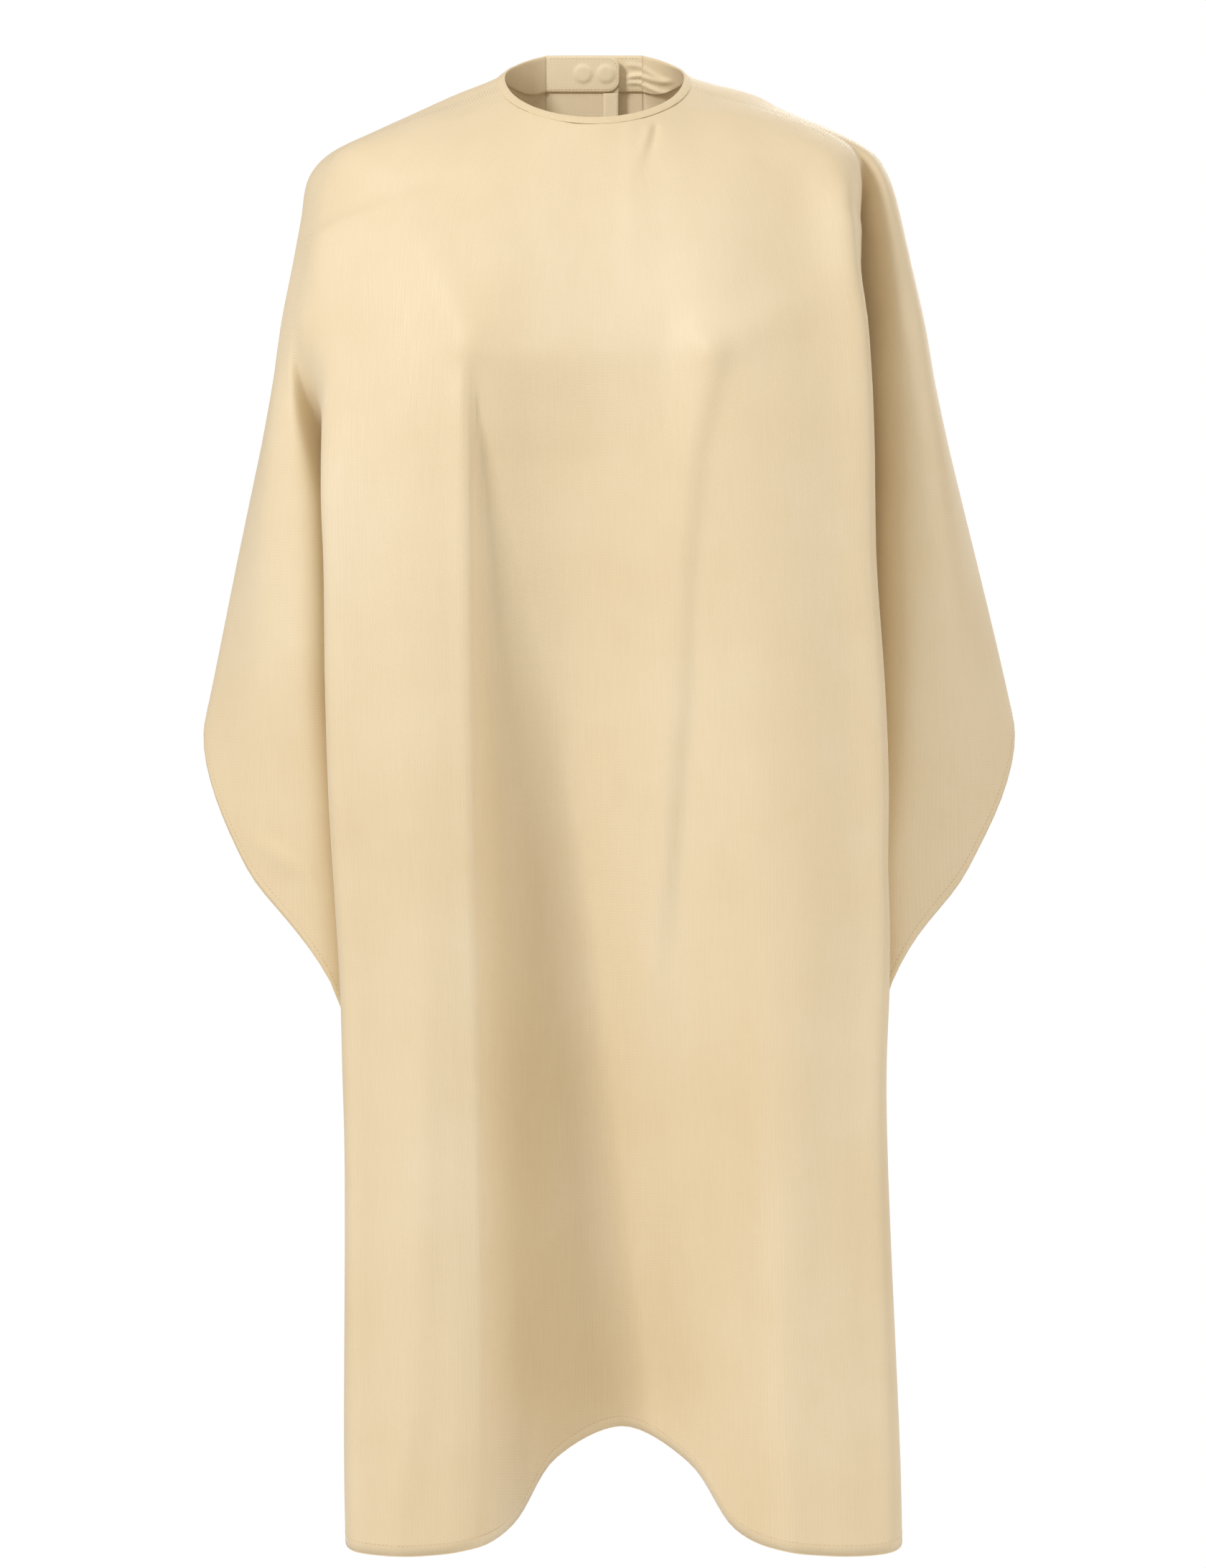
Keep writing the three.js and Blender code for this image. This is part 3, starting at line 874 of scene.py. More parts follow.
@dataclass(frozen=True)
class PlatedFinish(Finish):
    """Pressed steel with bright nickel plate and faint rubbed stains."""

    name: str = "nickel_plated_steel"
    light: str = "#D8D5CC"
    deep: str = "#A8A296"

    def surface(self, tree: bpy.types.NodeTree, place: bpy.types.NodeSocket) -> bpy.types.Node:
        """Draws fine tumbling marks and faint stains.

        Args:
            tree: The material's node tree.
            place: The socket that gives places on the piece.

        Returns:
            The surface shader.
        """
        marks = add_node(
            tree, "ShaderNodeTexNoise", {"Scale": 900.0, "Detail": 3.0, "Roughness": 0.6},
            {"Vector": place},
        )
        stains = add_node(
            tree, "ShaderNodeTexNoise", {"Scale": 140.0, "Detail": 2.0}, {"Vector": place}
        )
        tone = add_node(tree, "ShaderNodeMix", self.colours(), {0: stains.outputs["Fac"]})
        rough = add_node(
            tree, "ShaderNodeMapRange", {"To Min": 0.16, "To Max": 0.4},
            {"Value": marks.outputs["Fac"]},
        )
        bump = add_node(
            tree, "ShaderNodeBump", {"Strength": 0.25, "Distance": 0.04 * MM},
            {"Height": marks.outputs["Fac"]},
        )
        return add_node(
            tree, "ShaderNodeBsdfPrincipled", {"Metallic": 1.0},
            {"Base Color": tone.outputs[2], "Roughness": rough.outputs["Result"],
             "Normal": bump.outputs["Normal"]},
        )


@dataclass(frozen=True)
class ThreadFinish(Finish):
    """Spun polyester sewing thread: twisted plies with a dull lustre."""

    name: str = "spun_polyester_thread"
    light: str = "#EAD9B6"
    deep: str = "#C9AF86"
    ply: float = 0.7 * MM  # coarser than life, so that it shows

    def surface(self, tree: bpy.types.NodeTree, place: bpy.types.NodeSocket) -> bpy.types.Node:
        """Draws the plies as slanting bands.

        Args:
            tree: The material's node tree.
            place: The socket that gives places on the piece.

        Returns:
            The surface shader.
        """
        plies = add_node(
            tree, "ShaderNodeTexWave",
            {"bands_direction": "DIAGONAL", "Scale": WAVE_BAND / self.ply, "Distortion": 1.0},
            {"Vector": place},
        )
        tone = add_node(tree, "ShaderNodeMix", self.colours(), {0: plies.outputs["Fac"]})
        bump = add_node(
            tree, "ShaderNodeBump", {"Strength": 0.5, "Distance": 0.1 * MM},
            {"Height": plies.outputs["Fac"]},
        )
        return add_node(
            tree, "ShaderNodeBsdfPrincipled", {"Roughness": 0.62, "Sheen Weight": 0.25},
            {"Base Color": tone.outputs[2], "Normal": bump.outputs["Normal"]},
        )


@dataclass(frozen=True)
class PaintedBoard(Finish):
    """Matt white studio board with a barely visible roller texture."""

    name: str = "matt_white_board"
    light: str = "#FFFFFF"
    deep: str = "#FBFBFA"

    def surface(self, tree: bpy.types.NodeTree, place: bpy.types.NodeSocket) -> bpy.types.Node:
        """Draws a plain pale surface.

        Args:
            tree: The material's node tree.
            place: The socket that gives places on the piece.

        Returns:
            The surface shader.
        """
        roller = add_node(
            tree, "ShaderNodeTexNoise", {"Scale": 30.0, "Detail": 2.0}, {"Vector": place}
        )
        tone = add_node(tree, "ShaderNodeMix", self.colours(), {0: roller.outputs["Fac"]})
        return add_node(
            tree, "ShaderNodeBsdfPrincipled", {"Roughness": 0.95, "Specular IOR Level": 0.0},
            {"Base Color": tone.outputs[2]},
        )


@dataclass
class Wardrobe:
    """The finishes of the cape, made once and shared by its pieces."""

    # Polyester satin: a smooth warp-faced weave that gives a soft, broad highlight.
    cloth: ClothFinish = ClothFinish("satin_faced_polyester", "#EADCBF", "#DDC8A2", 0.50, 0.2)
    # The same cloth cut on the bias for the neck, so that its threads run across the band.
    binding: ClothFinish = ClothFinish(
        "bias_cut_polyester", "#E9DABC", "#DAC59E", 0.55, 0.2, Weave.BIAS
    )
    # Plain-woven lining: duller than the face cloth, but its colours are painted lighter than the
    # face cloth's. This is painted light that brightens the inside of the neck, where it lies in
    # shade.
    lining: ClothFinish = ClothFinish(
        "plain_woven_lining", "#F3E6CA", "#E6D5AF", 0.75, 0.1, thread=1.8 * MM
    )
    # Interlining: a dull, fibrous white edge between the layers of the tabs.
    felt: FeltFinish = FeltFinish()
    # Nickel plate: a bright grey that picks up the lamps, with faint rub marks.
    metal: PlatedFinish = PlatedFinish()
    # Thread: small matt beads, a shade darker than the cloth they lie on.
    thread: ThreadFinish = ThreadFinish()

    def __post_init__(self) -> None:
        """Builds every material."""
        self.made = {
            key: getattr(self, key).build()
            for key in ("cloth", "binding", "lining", "felt", "metal", "thread")
        }


# --------------------------------------------------------------------------- meshes


def grid_mesh(name: str, points: np.ndarray, uvs: np.ndarray | None = None) -> bpy.types.Mesh:
    """A grid operator's mesh, with its points moved into place.

    Args:
        name: The mesh's name.
        points: The places of the grid's points, by column and row.
        uvs: The cloth map at each point, or None to measure it on the points.

    Returns:
        The mesh, smooth shaded, whose faces look the way that down crosses across.
    """
    columns, rows = points.shape[0] - 1, points.shape[1] - 1
    bm = bmesh.new()
    bmesh.ops.create_grid(bm, x_segments=columns, y_segments=rows, size=0.5)
    mesh = bpy.data.meshes.new(name)
    bm.to_mesh(mesh)
    bm.free()
    flat = np.zeros(len(mesh.vertices) * 3)
    mesh.vertices.foreach_get("co", flat)
    flat = flat.reshape(-1, 3)
    i = np.rint((flat[:, 0] + 0.5) * columns).astype(int)
    j = rows - np.rint((flat[:, 1] + 0.5) * rows).astype(int)
    mesh.vertices.foreach_set("co", points[i, j].astype(np.float32).ravel())
    laid = lengths(points) if uvs is None else uvs
    corners = np.zeros(len(mesh.loops), int)
    mesh.loops.foreach_get("vertex_index", corners)
    layer = mesh.uv_layers.new(name=UV_NAME)
    layer.data.foreach_set("uv", laid[i, j][corners].astype(np.float32).ravel())
    mesh.shade_smooth()
    mesh.update()
    return mesh


def show(name: str, mesh: bpy.types.Mesh, material: bpy.types.Material) -> bpy.types.Object:
    """Puts a mesh in the scene as an object at the origin.

    Args:
        name: The piece's name.
        mesh: Its mesh, in its place.
        material: Its finish.

    Returns:
        The object.
    """
    made = bpy.data.objects.new(name, mesh)
    bpy.context.scene.collection.objects.link(made)
    mesh.materials.clear()
    mesh.materials.append(material)
    return made


def thicken(piece: bpy.types.Object, thickness: float) -> None:
    """Gives a sheet its thickness, half on each side, and an even rim.

    Args:
        piece: The sheet.
        thickness: Its whole thickness.
    """
    wall = piece.modifiers.new("thickness", "SOLIDIFY")
    wall.thickness = thickness
    wall.offset = 0.0
    wall.use_even_offset = False
    wall.use_rim = True


@dataclass(frozen=True)
class Seam:
    """A row of lockstitches along a line on a cloth's face."""

    path: np.ndarray
    out: np.ndarray

    def places(self, pitch: float) -> list[Matrix]:
        """Where each stitch lies.

        Args:
            pitch: The distance from one stitch to the next.

        Returns:
            A placing matrix for each stitch, along the seam and flat on the cloth.
        """
        run = np.linalg.norm(np.diff(self.path, axis=0), axis=1)
        along = np.concatenate([[0], np.cumsum(run)])
        count = max(1, int(along[-1] / pitch))
        at = (np.arange(count) + 0.5) * along[-1] / count
        reach = 0.3 * pitch
        read = [
            np.stack([np.interp(at + shift, along, self.path[:, k]) for k in range(3)], axis=1)
            for shift in (-reach, 0.0, reach)
        ]
        outs = np.stack([np.interp(at, along, self.out[:, k]) for k in range(3)], axis=1)
        made = []
        for before, here, after, out in zip(*read, outs):
            ahead = Vector(after - before).normalized()
            up = Vector(out).normalized()
            side = up.cross(ahead).normalized()
            turn = Matrix((ahead, side, side.cross(ahead) * -1)).transposed()
            made.append(Matrix.Translation(Vector(here)) @ turn.to_4x4())
        return made


@dataclass
class Stitching:
    """Stitches of one piece of cloth, as small rounded beads of thread."""

    pitch: float = 3.4 * MM
    length: float = 2.5 * MM
    radius: float = 0.3 * MM

    def mesh(self, name: str, seams: Sequence[Seam]) -> bpy.types.Mesh:
        """Sews the seams.

        Args:
            name: The mesh's name.
            seams: The rows of stitches.

        Returns:
            One mesh that holds every stitch, twenty faces each.
        """
        bm = bmesh.new()
        shape = Matrix.Diagonal((self.length / 2, self.radius, self.radius * 0.8, 1))
        for seam in seams:
            for place in seam.places(self.pitch):
                bmesh.ops.create_icosphere(bm, subdivisions=1, radius=1.0, matrix=place @ shape)
        bmesh.ops.recalc_face_normals(bm, faces=bm.faces)
        mesh = bpy.data.meshes.new(name)
        bm.to_mesh(mesh)
        bm.free()
        mesh.shade_smooth()
        return mesh


# A finer needle's stitches, for the neck band and the closing halves.
FINE_STITCHES = Stitching(2.8 * MM, 2.0 * MM, 0.25 * MM)
STITCH_LEVEL = 0.22 * MM  # the middle of a fine stitch above the middle of the cloth it holds
HEM_SEAM = 7.4 * MM  # how far above the edge a hem is sewn


# --------------------------------------------------------------------------- the cape itself


@dataclass
class CapeBody:
    """The main cloth with its turned hem and neck band; it rides on the cape."""

    drape: Drape
    looks: Wardrobe
    cloth_thickness: float = 0.5 * MM
    hem_thickness: float = 0.4 * MM
    hem_inner: float = 1.25 * MM  # how far inside the cloth's middle the turned hem's face is
    flat: tuple[float, float] = (1.38, 1.50)
    area: float = 1.25

    def build_cloth(self) -> bpy.types.Object:
        """Makes the cloth.

        Returns:
            The draped sheet.
        """
        points, laid = self.drape.cloth()
        piece = show("cape_cloth", grid_mesh("cape_cloth", points, laid), self.looks.made["cloth"])
        thicken(piece, self.cloth_thickness)
        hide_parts("cape_panel")
        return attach(piece, "cape")

    def hem_frame(self) -> tuple[np.ndarray, np.ndarray, np.ndarray]:
        """Where the hem goes.

        Returns:
            The lower edge, the way down to it and the way out of the cloth there.
        """
        edge = self.drape.grid[:, -1]
        down = edge - self.drape.grid[:, -3]
        down /= np.linalg.norm(down, axis=-1, keepdims=True)
        return edge, down, self.drape.out[:, -2]

    def build_hem(self) -> bpy.types.Object:
        """Makes the hem: the cloth's lower edge turned up on the inside.

        Returns:
            The turned strip.
        """
        edge, down, out = self.hem_frame()
        points = np.stack([edge + down * d * MM + out * o * MM for d, o in HEM_PATH], axis=1)
        piece = show("cape_hem", grid_mesh("cape_hem", points), self.looks.made["cloth"])
        thicken(piece, self.hem_thickness)
        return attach(piece, "cape")

    def build_stitches(self) -> bpy.types.Object:
        """Sews the hem, on both faces.

        Returns:
            The stitches.
        """
        edge, down, out = self.hem_frame()
        face = self.cloth_thickness / 2
        line = edge - down * HEM_SEAM
        seams = [Seam(line + out * face, out), Seam(line - out * self.hem_inner, -out)]
        mesh = Stitching().mesh("hem_stitches", seams)
        piece = show("hem_stitches", mesh, self.looks.made["thread"])
        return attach(piece, "cape")


# A turned hem's section: down past the edge and out of the cloth, in millimetres.
HEM_PATH = (
    (-0.1, 0.05),
    (0.45, -0.1),
    (0.6, -0.45),
    (0.4, -0.85),
    (-0.5, -1.0),
    (-4.0, -1.05),
    (-8.4, -1.0),
    (-9.0, -0.65),
)


@dataclass
class NeckBand:
    """The folded band that binds the neck edge: an outer and an inner leg over the cloth's edge."""

    drape: Drape
    looks: Wardrobe
    thickness: float = 0.4 * MM
    outer_level: tuple[float, float] = (0.4 * MM, -0.05 * MM)  # at the front and at the back
    inner_level: tuple[float, float] = (-0.8 * MM, -2.5 * MM)
    top_steps: int = 5
    seam_height: float = 1.4 * MM  # how far above its foot the band is sewn

    def frames(self) -> tuple[np.ndarray, ...]:
        """Where the band goes, column by column.

        Returns:
            Its foot, the ways down and out, its heights and how far back each column is.
        """
        places = self.drape.neck
        foot = np.array([p.foot for p in places])
        down = np.array([p.down for p in places])
        across = np.gradient(foot, axis=0)
        out = np.cross(down, across)
        out /= np.linalg.norm(out, axis=-1, keepdims=True)
        out[0] = out[-1] = self.drape.sizes.back_out
        height = np.linalg.norm(foot - np.array([p.top for p in places]), axis=-1)
        return foot, down, out, height, np.array([p.to_back for p in places])

    def puffs(self, columns: int) -> np.ndarray:
        """The slight unevenness of a band that is gathered by its stitches."""
        at = np.linspace(0, 1, columns)
        return 0.12 * MM * np.sin(at * 260) * np.sin(at * 73 + 1)

    def build(self) -> bpy.types.Object:
        """Makes the band.

        Returns:
            The band, one folded strip.
        """
        foot, down, out, height, back = self.frames()
        outer = mix(*self.outer_level, back) + self.puffs(len(foot))
        inner = mix(*self.inner_level, back)
        lift = height - 0.3 * MM
        rows: list[np.ndarray] = []
        for share in (0.0, 0.03, 0.25, 0.5, 0.75, 0.93):
            bulge = 0.25 * MM * math.sin(math.pi * share)
            rows.append(foot - down * (lift * share)[:, None] + out * (outer + bulge)[:, None])
        middle, half = (outer + inner) / 2, (outer - inner) / 2
        for k in range(1, self.top_steps + 1):
            turn = math.pi * k / (self.top_steps + 1)
            rise = lift * 0.93 + (lift * 0.07) * math.sin(turn)
            rows.append(
                foot - down * rise[:, None] + out * (middle + half * math.cos(turn))[:, None]
            )
        for share in (*np.linspace(0.93, 0.03, 20), 0.0):
            rolled = inner - self.drape.wrinkles(foot[:, 0], lift * (1 - share))
            rows.append(foot - down * (lift * share)[:, None] + out * rolled[:, None])
        points = np.stack(rows, axis=1)
        piece = show(
            "neck_binding_cloth",
            grid_mesh("neck_binding_cloth", points[:, ::-1]),
            self.looks.made["binding"],
        )
        thicken(piece, self.thickness)
        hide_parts("neck_binding")
        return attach(piece, "cape")

    def build_stitches(self) -> bpy.types.Object:
        """Sews the band just above its foot, inside and outside.

        Returns:
            The stitches.
        """
        foot, down, out, _, back = self.frames()
        outer = mix(*self.outer_level, back) + STITCH_LEVEL
        inner = mix(*self.inner_level, back) - STITCH_LEVEL
        line = foot - down * self.seam_height
        seams = [
            Seam(line + out * outer[:, None], out),
            Seam(line + out * inner[:, None], -out),
        ]
        mesh = FINE_STITCHES.mesh("neck_stitches", seams)
        piece = show("neck_stitches", mesh, self.looks.made["thread"])
        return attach(piece, "cape")


# --------------------------------------------------------------------------- closing halves


@dataclass(frozen=True)
class TabLayer:
    """One layer of a tab: its names, its place in the stack and how its edges are turned."""

    name: str
    node: str
    look: str
    slot: str
    depth: float  # from the tab's outer face in to the layer's middle
    inset: float  # how far it stays inside the tab's outline
    curl: float  # how far its edges are turned, outwards if positive
    thickness: float


TAB_LAYERS = (
    TabLayer("tab_cover", "outer", "binding", "binding_cloth", 0.05 * MM, 0, -1.1 * MM, 0.4 * MM),
    TabLayer("tab_stiffener", "interlining", "felt", "interlining", 1.45 * MM, 1.2 * MM, 0,
             0.6 * MM),
    TabLayer("tab_inner", "lining", "lining", "lining_cloth", 2.5 * MM, 0.1 * MM, 0.75 * MM,
             0.4 * MM),
)


@dataclass
class ClosingHalf:
    """One half of the back: its cloth, hem, slit facing and layered tab."""

    side: Side
    drape: Drape
    looks: Wardrobe
    bend: float = 18 * MM  # how far past the hinge line a bend would reach; no piece is bent
    columns: int = 44
    cloth_thickness: float = 0.5 * MM
    hem_thickness: float = 0.4 * MM
    facing_thickness: float = 0.35 * MM
    facing_width: float = 12 * MM
    facing_depth: float = 1.35 * MM  # how far inside the cloth's middle the facing lies
    head_rise: float = 1.1 * MM  # how far the lining stands over the head of a rivet
    head_reach: tuple[float, float] = (4.6 * MM, 8.5 * MM)  # where that starts to fall and ends
    slit_seams: tuple[float, float] = (1.8 * MM, 10.4 * MM)  # in from the slit's edge
    tab_seam: float = 2.2 * MM  # in from the tab's edge
    flat: tuple[float, float] = (0.057, 0.332)

    @property
    def sign(self) -> int:
        """1 on the over side and -1 on the under side."""
        return self.side.value

    @property
    def hinge(self) -> float:
        """Where the hinge line is, from the middle."""
        return self.sign * self.drape.sizes.hinge_half

    @property
    def free(self) -> float:
        """Where the slit's free edge is, from the middle."""
        return -self.sign * self.drape.sizes.flap_reach

    @property
    def level(self) -> float:
        """The level of this half's outer face."""
        return self.drape.outer(self.sign)

    def bent(self, piece: bpy.types.Object) -> bpy.types.Object:
        """Bakes a piece's placing into its mesh; it is not bent at the hinge line.

        Args:
            piece: The piece.

        Returns:
            The same piece.
        """
        start = self.drape.back_point(self.hinge, 0.05, 0.0)
        end = self.drape.back_point(self.hinge - self.sign * self.bend, 0.05, 0.0)
        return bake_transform(piece)

    def flap(self, from_x: float, to_x: float, columns: int) -> np.ndarray:
        """The points of the half's cloth between two places across, in the rows of the cape.

        Args:
            from_x: The first place across.
            to_x: The last place across, towards the free edge.
            columns: How many strips lie between them.

        Returns:
            The points by column and row.
        """
        s = self.drape.sizes
        edge = self.drape.cloth()[0][-1 if self.sign > 0 else 0]
        height = s.back_drop - s.band_back_height
        made = []
        for x in np.linspace(from_x, to_x, columns + 1):
            past = max(0.0, s.flap_corner - abs(self.free - x))
            cut = s.flap_corner - math.sqrt(max(0.0, s.flap_corner**2 - past**2))
            shrink = 1 - cut / height
            line = edge.copy()
            line[:, 0] = x
            moved = line[1] + (line - line[1]) * shrink
            moved[0] = line[0]
            moved[:, 0] = x
            here = self.drape.back_wave(np.array(self.hinge), -edge[:, 2])
            there = self.drape.back_wave(np.array(x), -moved[:, 2])
            made.append(moved + s.back_out * (there - here)[:, None])
        return np.array(made)

    def build_cloth(self) -> bpy.types.Object:
        """Makes the half's cloth.

        Returns:
            The sheet, which carries on the cape's cloth past the hinge line.
        """
        points = self.flap(self.hinge, self.free, self.columns)
        name = "back_cloth_" + self.side.word
        piece = show(name, grid_mesh(name, points[:: self.sign]), self.looks.made["cloth"])
        thicken(piece, self.cloth_thickness)
        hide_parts("back_half_" + self.side.word)
        return self.bent(piece)

    def hem_frame(self, points: np.ndarray) -> tuple[np.ndarray, np.ndarray, np.ndarray]:
        """Where the hem of the half goes.

        Args:
            points: The half's cloth by column and row.

        Returns:
            The lower edge, the way down to it and the way out.
        """
        edge = points[:, -1]
        down = edge - points[:, -6]
        down /= np.linalg.norm(down, axis=-1, keepdims=True)
        return edge, down, np.broadcast_to(self.drape.sizes.back_out, edge.shape)

    def build_hem(self) -> bpy.types.Object:
        """Makes the turned hem of the half.

        Returns:
            The strip, from the hinge line to the rounded corner of the slit.
        """
        points = self.flap(self.hinge, self.free + self.sign * 1 * MM, self.columns)
        edge, down, out = self.hem_frame(points)
        strip = np.stack([edge + down * d * MM + out * o * MM for d, o in HEM_PATH], axis=1)
        name = "back_hem_" + self.side.word
        piece = show(name, grid_mesh(name, strip[:: self.sign]), self.looks.made["cloth"])
        thicken(piece, self.hem_thickness)
        return self.bent(piece)

    def build_facing(self) -> bpy.types.Object:
        """Makes the strip that faces the slit on the inside.

        Returns:
            The facing, whose free edge curls round the edge of the cloth.
        """
        strips = 16
        start = self.free + self.sign * self.facing_width
        points = self.flap(start, self.free + self.sign * 0.4 * MM, strips)[:, 2:-8]
        share = np.linspace(0, 1, strips + 1)
        curl = 0.45 * MM * (ease(share, 0.85, 1.0) + 1 - ease(share, 0.0, 0.12))
        points = points + self.drape.sizes.back_out * (curl - self.facing_depth)[:, None, None]
        name = "facing_cloth_" + self.side.word
        piece = show(name, grid_mesh(name, points[:: self.sign]), self.looks.made["lining"])
        thicken(piece, self.facing_thickness)
        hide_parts("slit_facing_" + self.side.word)
        return self.bent(piece)

    def tab_points(self, inset: float) -> np.ndarray:
        """The points of a flat tab layer, at level 0, a grid that narrows round its free corners.

        Args:
            inset: How far the layer stays inside the tab's outline.

        Returns:
            The points by column, from the hinge line to the free end, and row, from the top down.
        """
        s = self.drape.sizes
        reach = s.over_reach if self.sign > 0 else s.under_reach
        start = self.hinge - self.sign * 0.15 * MM
        end = -self.sign * (reach - inset)
        half = s.band_back_height / 2 - inset
        corner = s.tab_corner - inset
        length = abs(end - start)
        turn = np.linspace(0, math.pi / 2, 10)[1:]
        along = [*np.linspace(0, length - corner, 56), *(length - corner + corner * np.sin(turn))]
        shares = np.concatenate([[0, 0.015, 0.045], np.linspace(0.09, 0.91, 25), [0.955, 0.985, 1]])
        made = []
        for run in along:
            past = max(0.0, run - (length - corner))
            tall = half - corner + math.sqrt(max(0.0, corner**2 - past**2))
            x = start - self.sign * run
            middle = s.band_back_height / 2
            made.append([self.drape.back_point(x, middle + (2 * k - 1) * tall, 0) for k in shares])
        return np.array(made)

    def layer(self, kind: TabLayer, hole: float) -> bpy.types.Object:
        """Makes one layer of the tab, pierced where the press studs pass through it.

        Args:
            kind: Which layer it is.
            hole: The radius of its holes, or 0 where it covers the heads of the rivets instead.

        Returns:
            The layer.
        """
        s = self.drape.sizes
        level = self.level - kind.depth
        points = self.tab_points(kind.inset)
        columns, rows = points.shape[:2]
        across = np.minimum(np.arange(rows), np.arange(rows)[::-1])
        along = np.arange(columns)[::-1]
        nearest = np.minimum(across[None, :], along[:, None])
        turned = kind.curl * np.clip(1 - nearest / 3, 0, 1) ** 2
        middles = [
            self.drape.back_point(place * s.snap_pitch, s.band_back_height / 2, 0)
            for place in (SOCKET_PLACES if self.sign > 0 else STUD_PLACES)
        ]
        if not hole:
            for middle in middles:
                away = np.linalg.norm(points - middle, axis=-1)
                turned = turned - self.head_rise * (1 - ease(away, *self.head_reach))
        if kind.curl > 0:
            drop = (s.back_top[2] - points[..., 2]) / math.cos(math.radians(s.back_tilt))
            turned = turned - self.drape.wrinkles(points[..., 0], drop)
        points = points + s.back_out * (level + turned)[..., None]
        name = f"{kind.name}_{self.side.word}"
        mesh = grid_mesh(name, points[:: self.sign])
        for middle in middles if hole else ():
            pierce(mesh, middle + s.back_out * level, s.back_out, hole)
        piece = show(name, mesh, self.looks.made[kind.look])
        thicken(piece, kind.thickness)
        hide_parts(f"{self.side.word}_tab_{kind.node}")
        return self.bent(piece)

    def build_tab(self) -> list[bpy.types.Object]:
        """Makes the three layers of the tab.

        Returns:
            The outer cloth, the interlining and the lining.
        """
        hole = 1.9 * MM if self.sign > 0 else 1.4 * MM
        cover, stiff, inner = TAB_LAYERS
        return [
            self.layer(cover, hole),
            self.layer(stiff, hole),
            self.layer(inner, hole if self.sign > 0 else 0.0),
        ]

    def build_stitches(self) -> bpy.types.Object:
        """Sews the hem, the slit and the edge of the tab.

        Returns:
            The stitches of this half.
        """
        s = self.drape.sizes
        points = self.flap(self.hinge, self.free, self.columns)
        edge, down, out = self.hem_frame(points)
        face = self.cloth_thickness / 2
        line = (edge - down * HEM_SEAM)[: -int(self.columns * 0.2)]
        seams = [Seam(line + out[: len(line)] * face, out[: len(line)])]
        for inset in self.slit_seams:
            at = self.free + self.sign * inset
            run = self.flap(at, at, 1)[0][4:-8]
            outs = np.broadcast_to(s.back_out, run.shape)
            seams.append(Seam(run + outs * face, outs))
        ring = self.tab_points(self.tab_seam)
        inside = np.concatenate([ring[3:, 0], ring[-1, 1:-1], ring[3:, -1][::-1]])
        outs = np.broadcast_to(s.back_out, inside.shape)
        seams.append(Seam(inside + outs * (self.level + 0.15 * MM), outs))
        seams.append(Seam(inside + outs * (self.level - 2.7 * MM), -outs))
        name = "back_stitches_" + self.side.word
        mesh = FINE_STITCHES.mesh(name, seams)
        piece = show(name, mesh, self.looks.made["thread"])
        return self.bent(piece)


def pierce(mesh: bpy.types.Mesh, centre: np.ndarray, axis: np.ndarray, radius: float) -> None:
    """Cuts a round hole in a sheet where a stem passes through it.

    Args:
        mesh: The sheet's mesh.
        centre: The middle of the hole.
        axis: The way the stem points.
        radius: The hole's radius.
    """
    bm = bmesh.new()
    bm.from_mesh(mesh)
    middle, line = Vector(centre), Vector(axis)

    def flat(point: Vector) -> Vector:
        """The part of the way from the hole's middle to a point that lies across the stem."""
        away = point - middle
        return away - line * away.dot(line)

    inside = [f for f in bm.faces if flat(f.calc_center_median()).length < radius]
    bmesh.ops.delete(bm, geom=inside, context="FACES")
    rim = [v for v in bm.verts if v.is_boundary and flat(v.co).length < radius * 2]
    for vert in rim:
        away = flat(vert.co)
        vert.co += away.normalized() * (radius - away.length)
    bm.to_mesh(mesh)
    bm.free()


# --------------------------------------------------------------------------- press studs

# Places of the sockets and studs, in pitches from the middle of the back.
SOCKET_PLACES = (-1.5, -0.5, 0.5)
STUD_PLACES = (-0.5, 0.5)


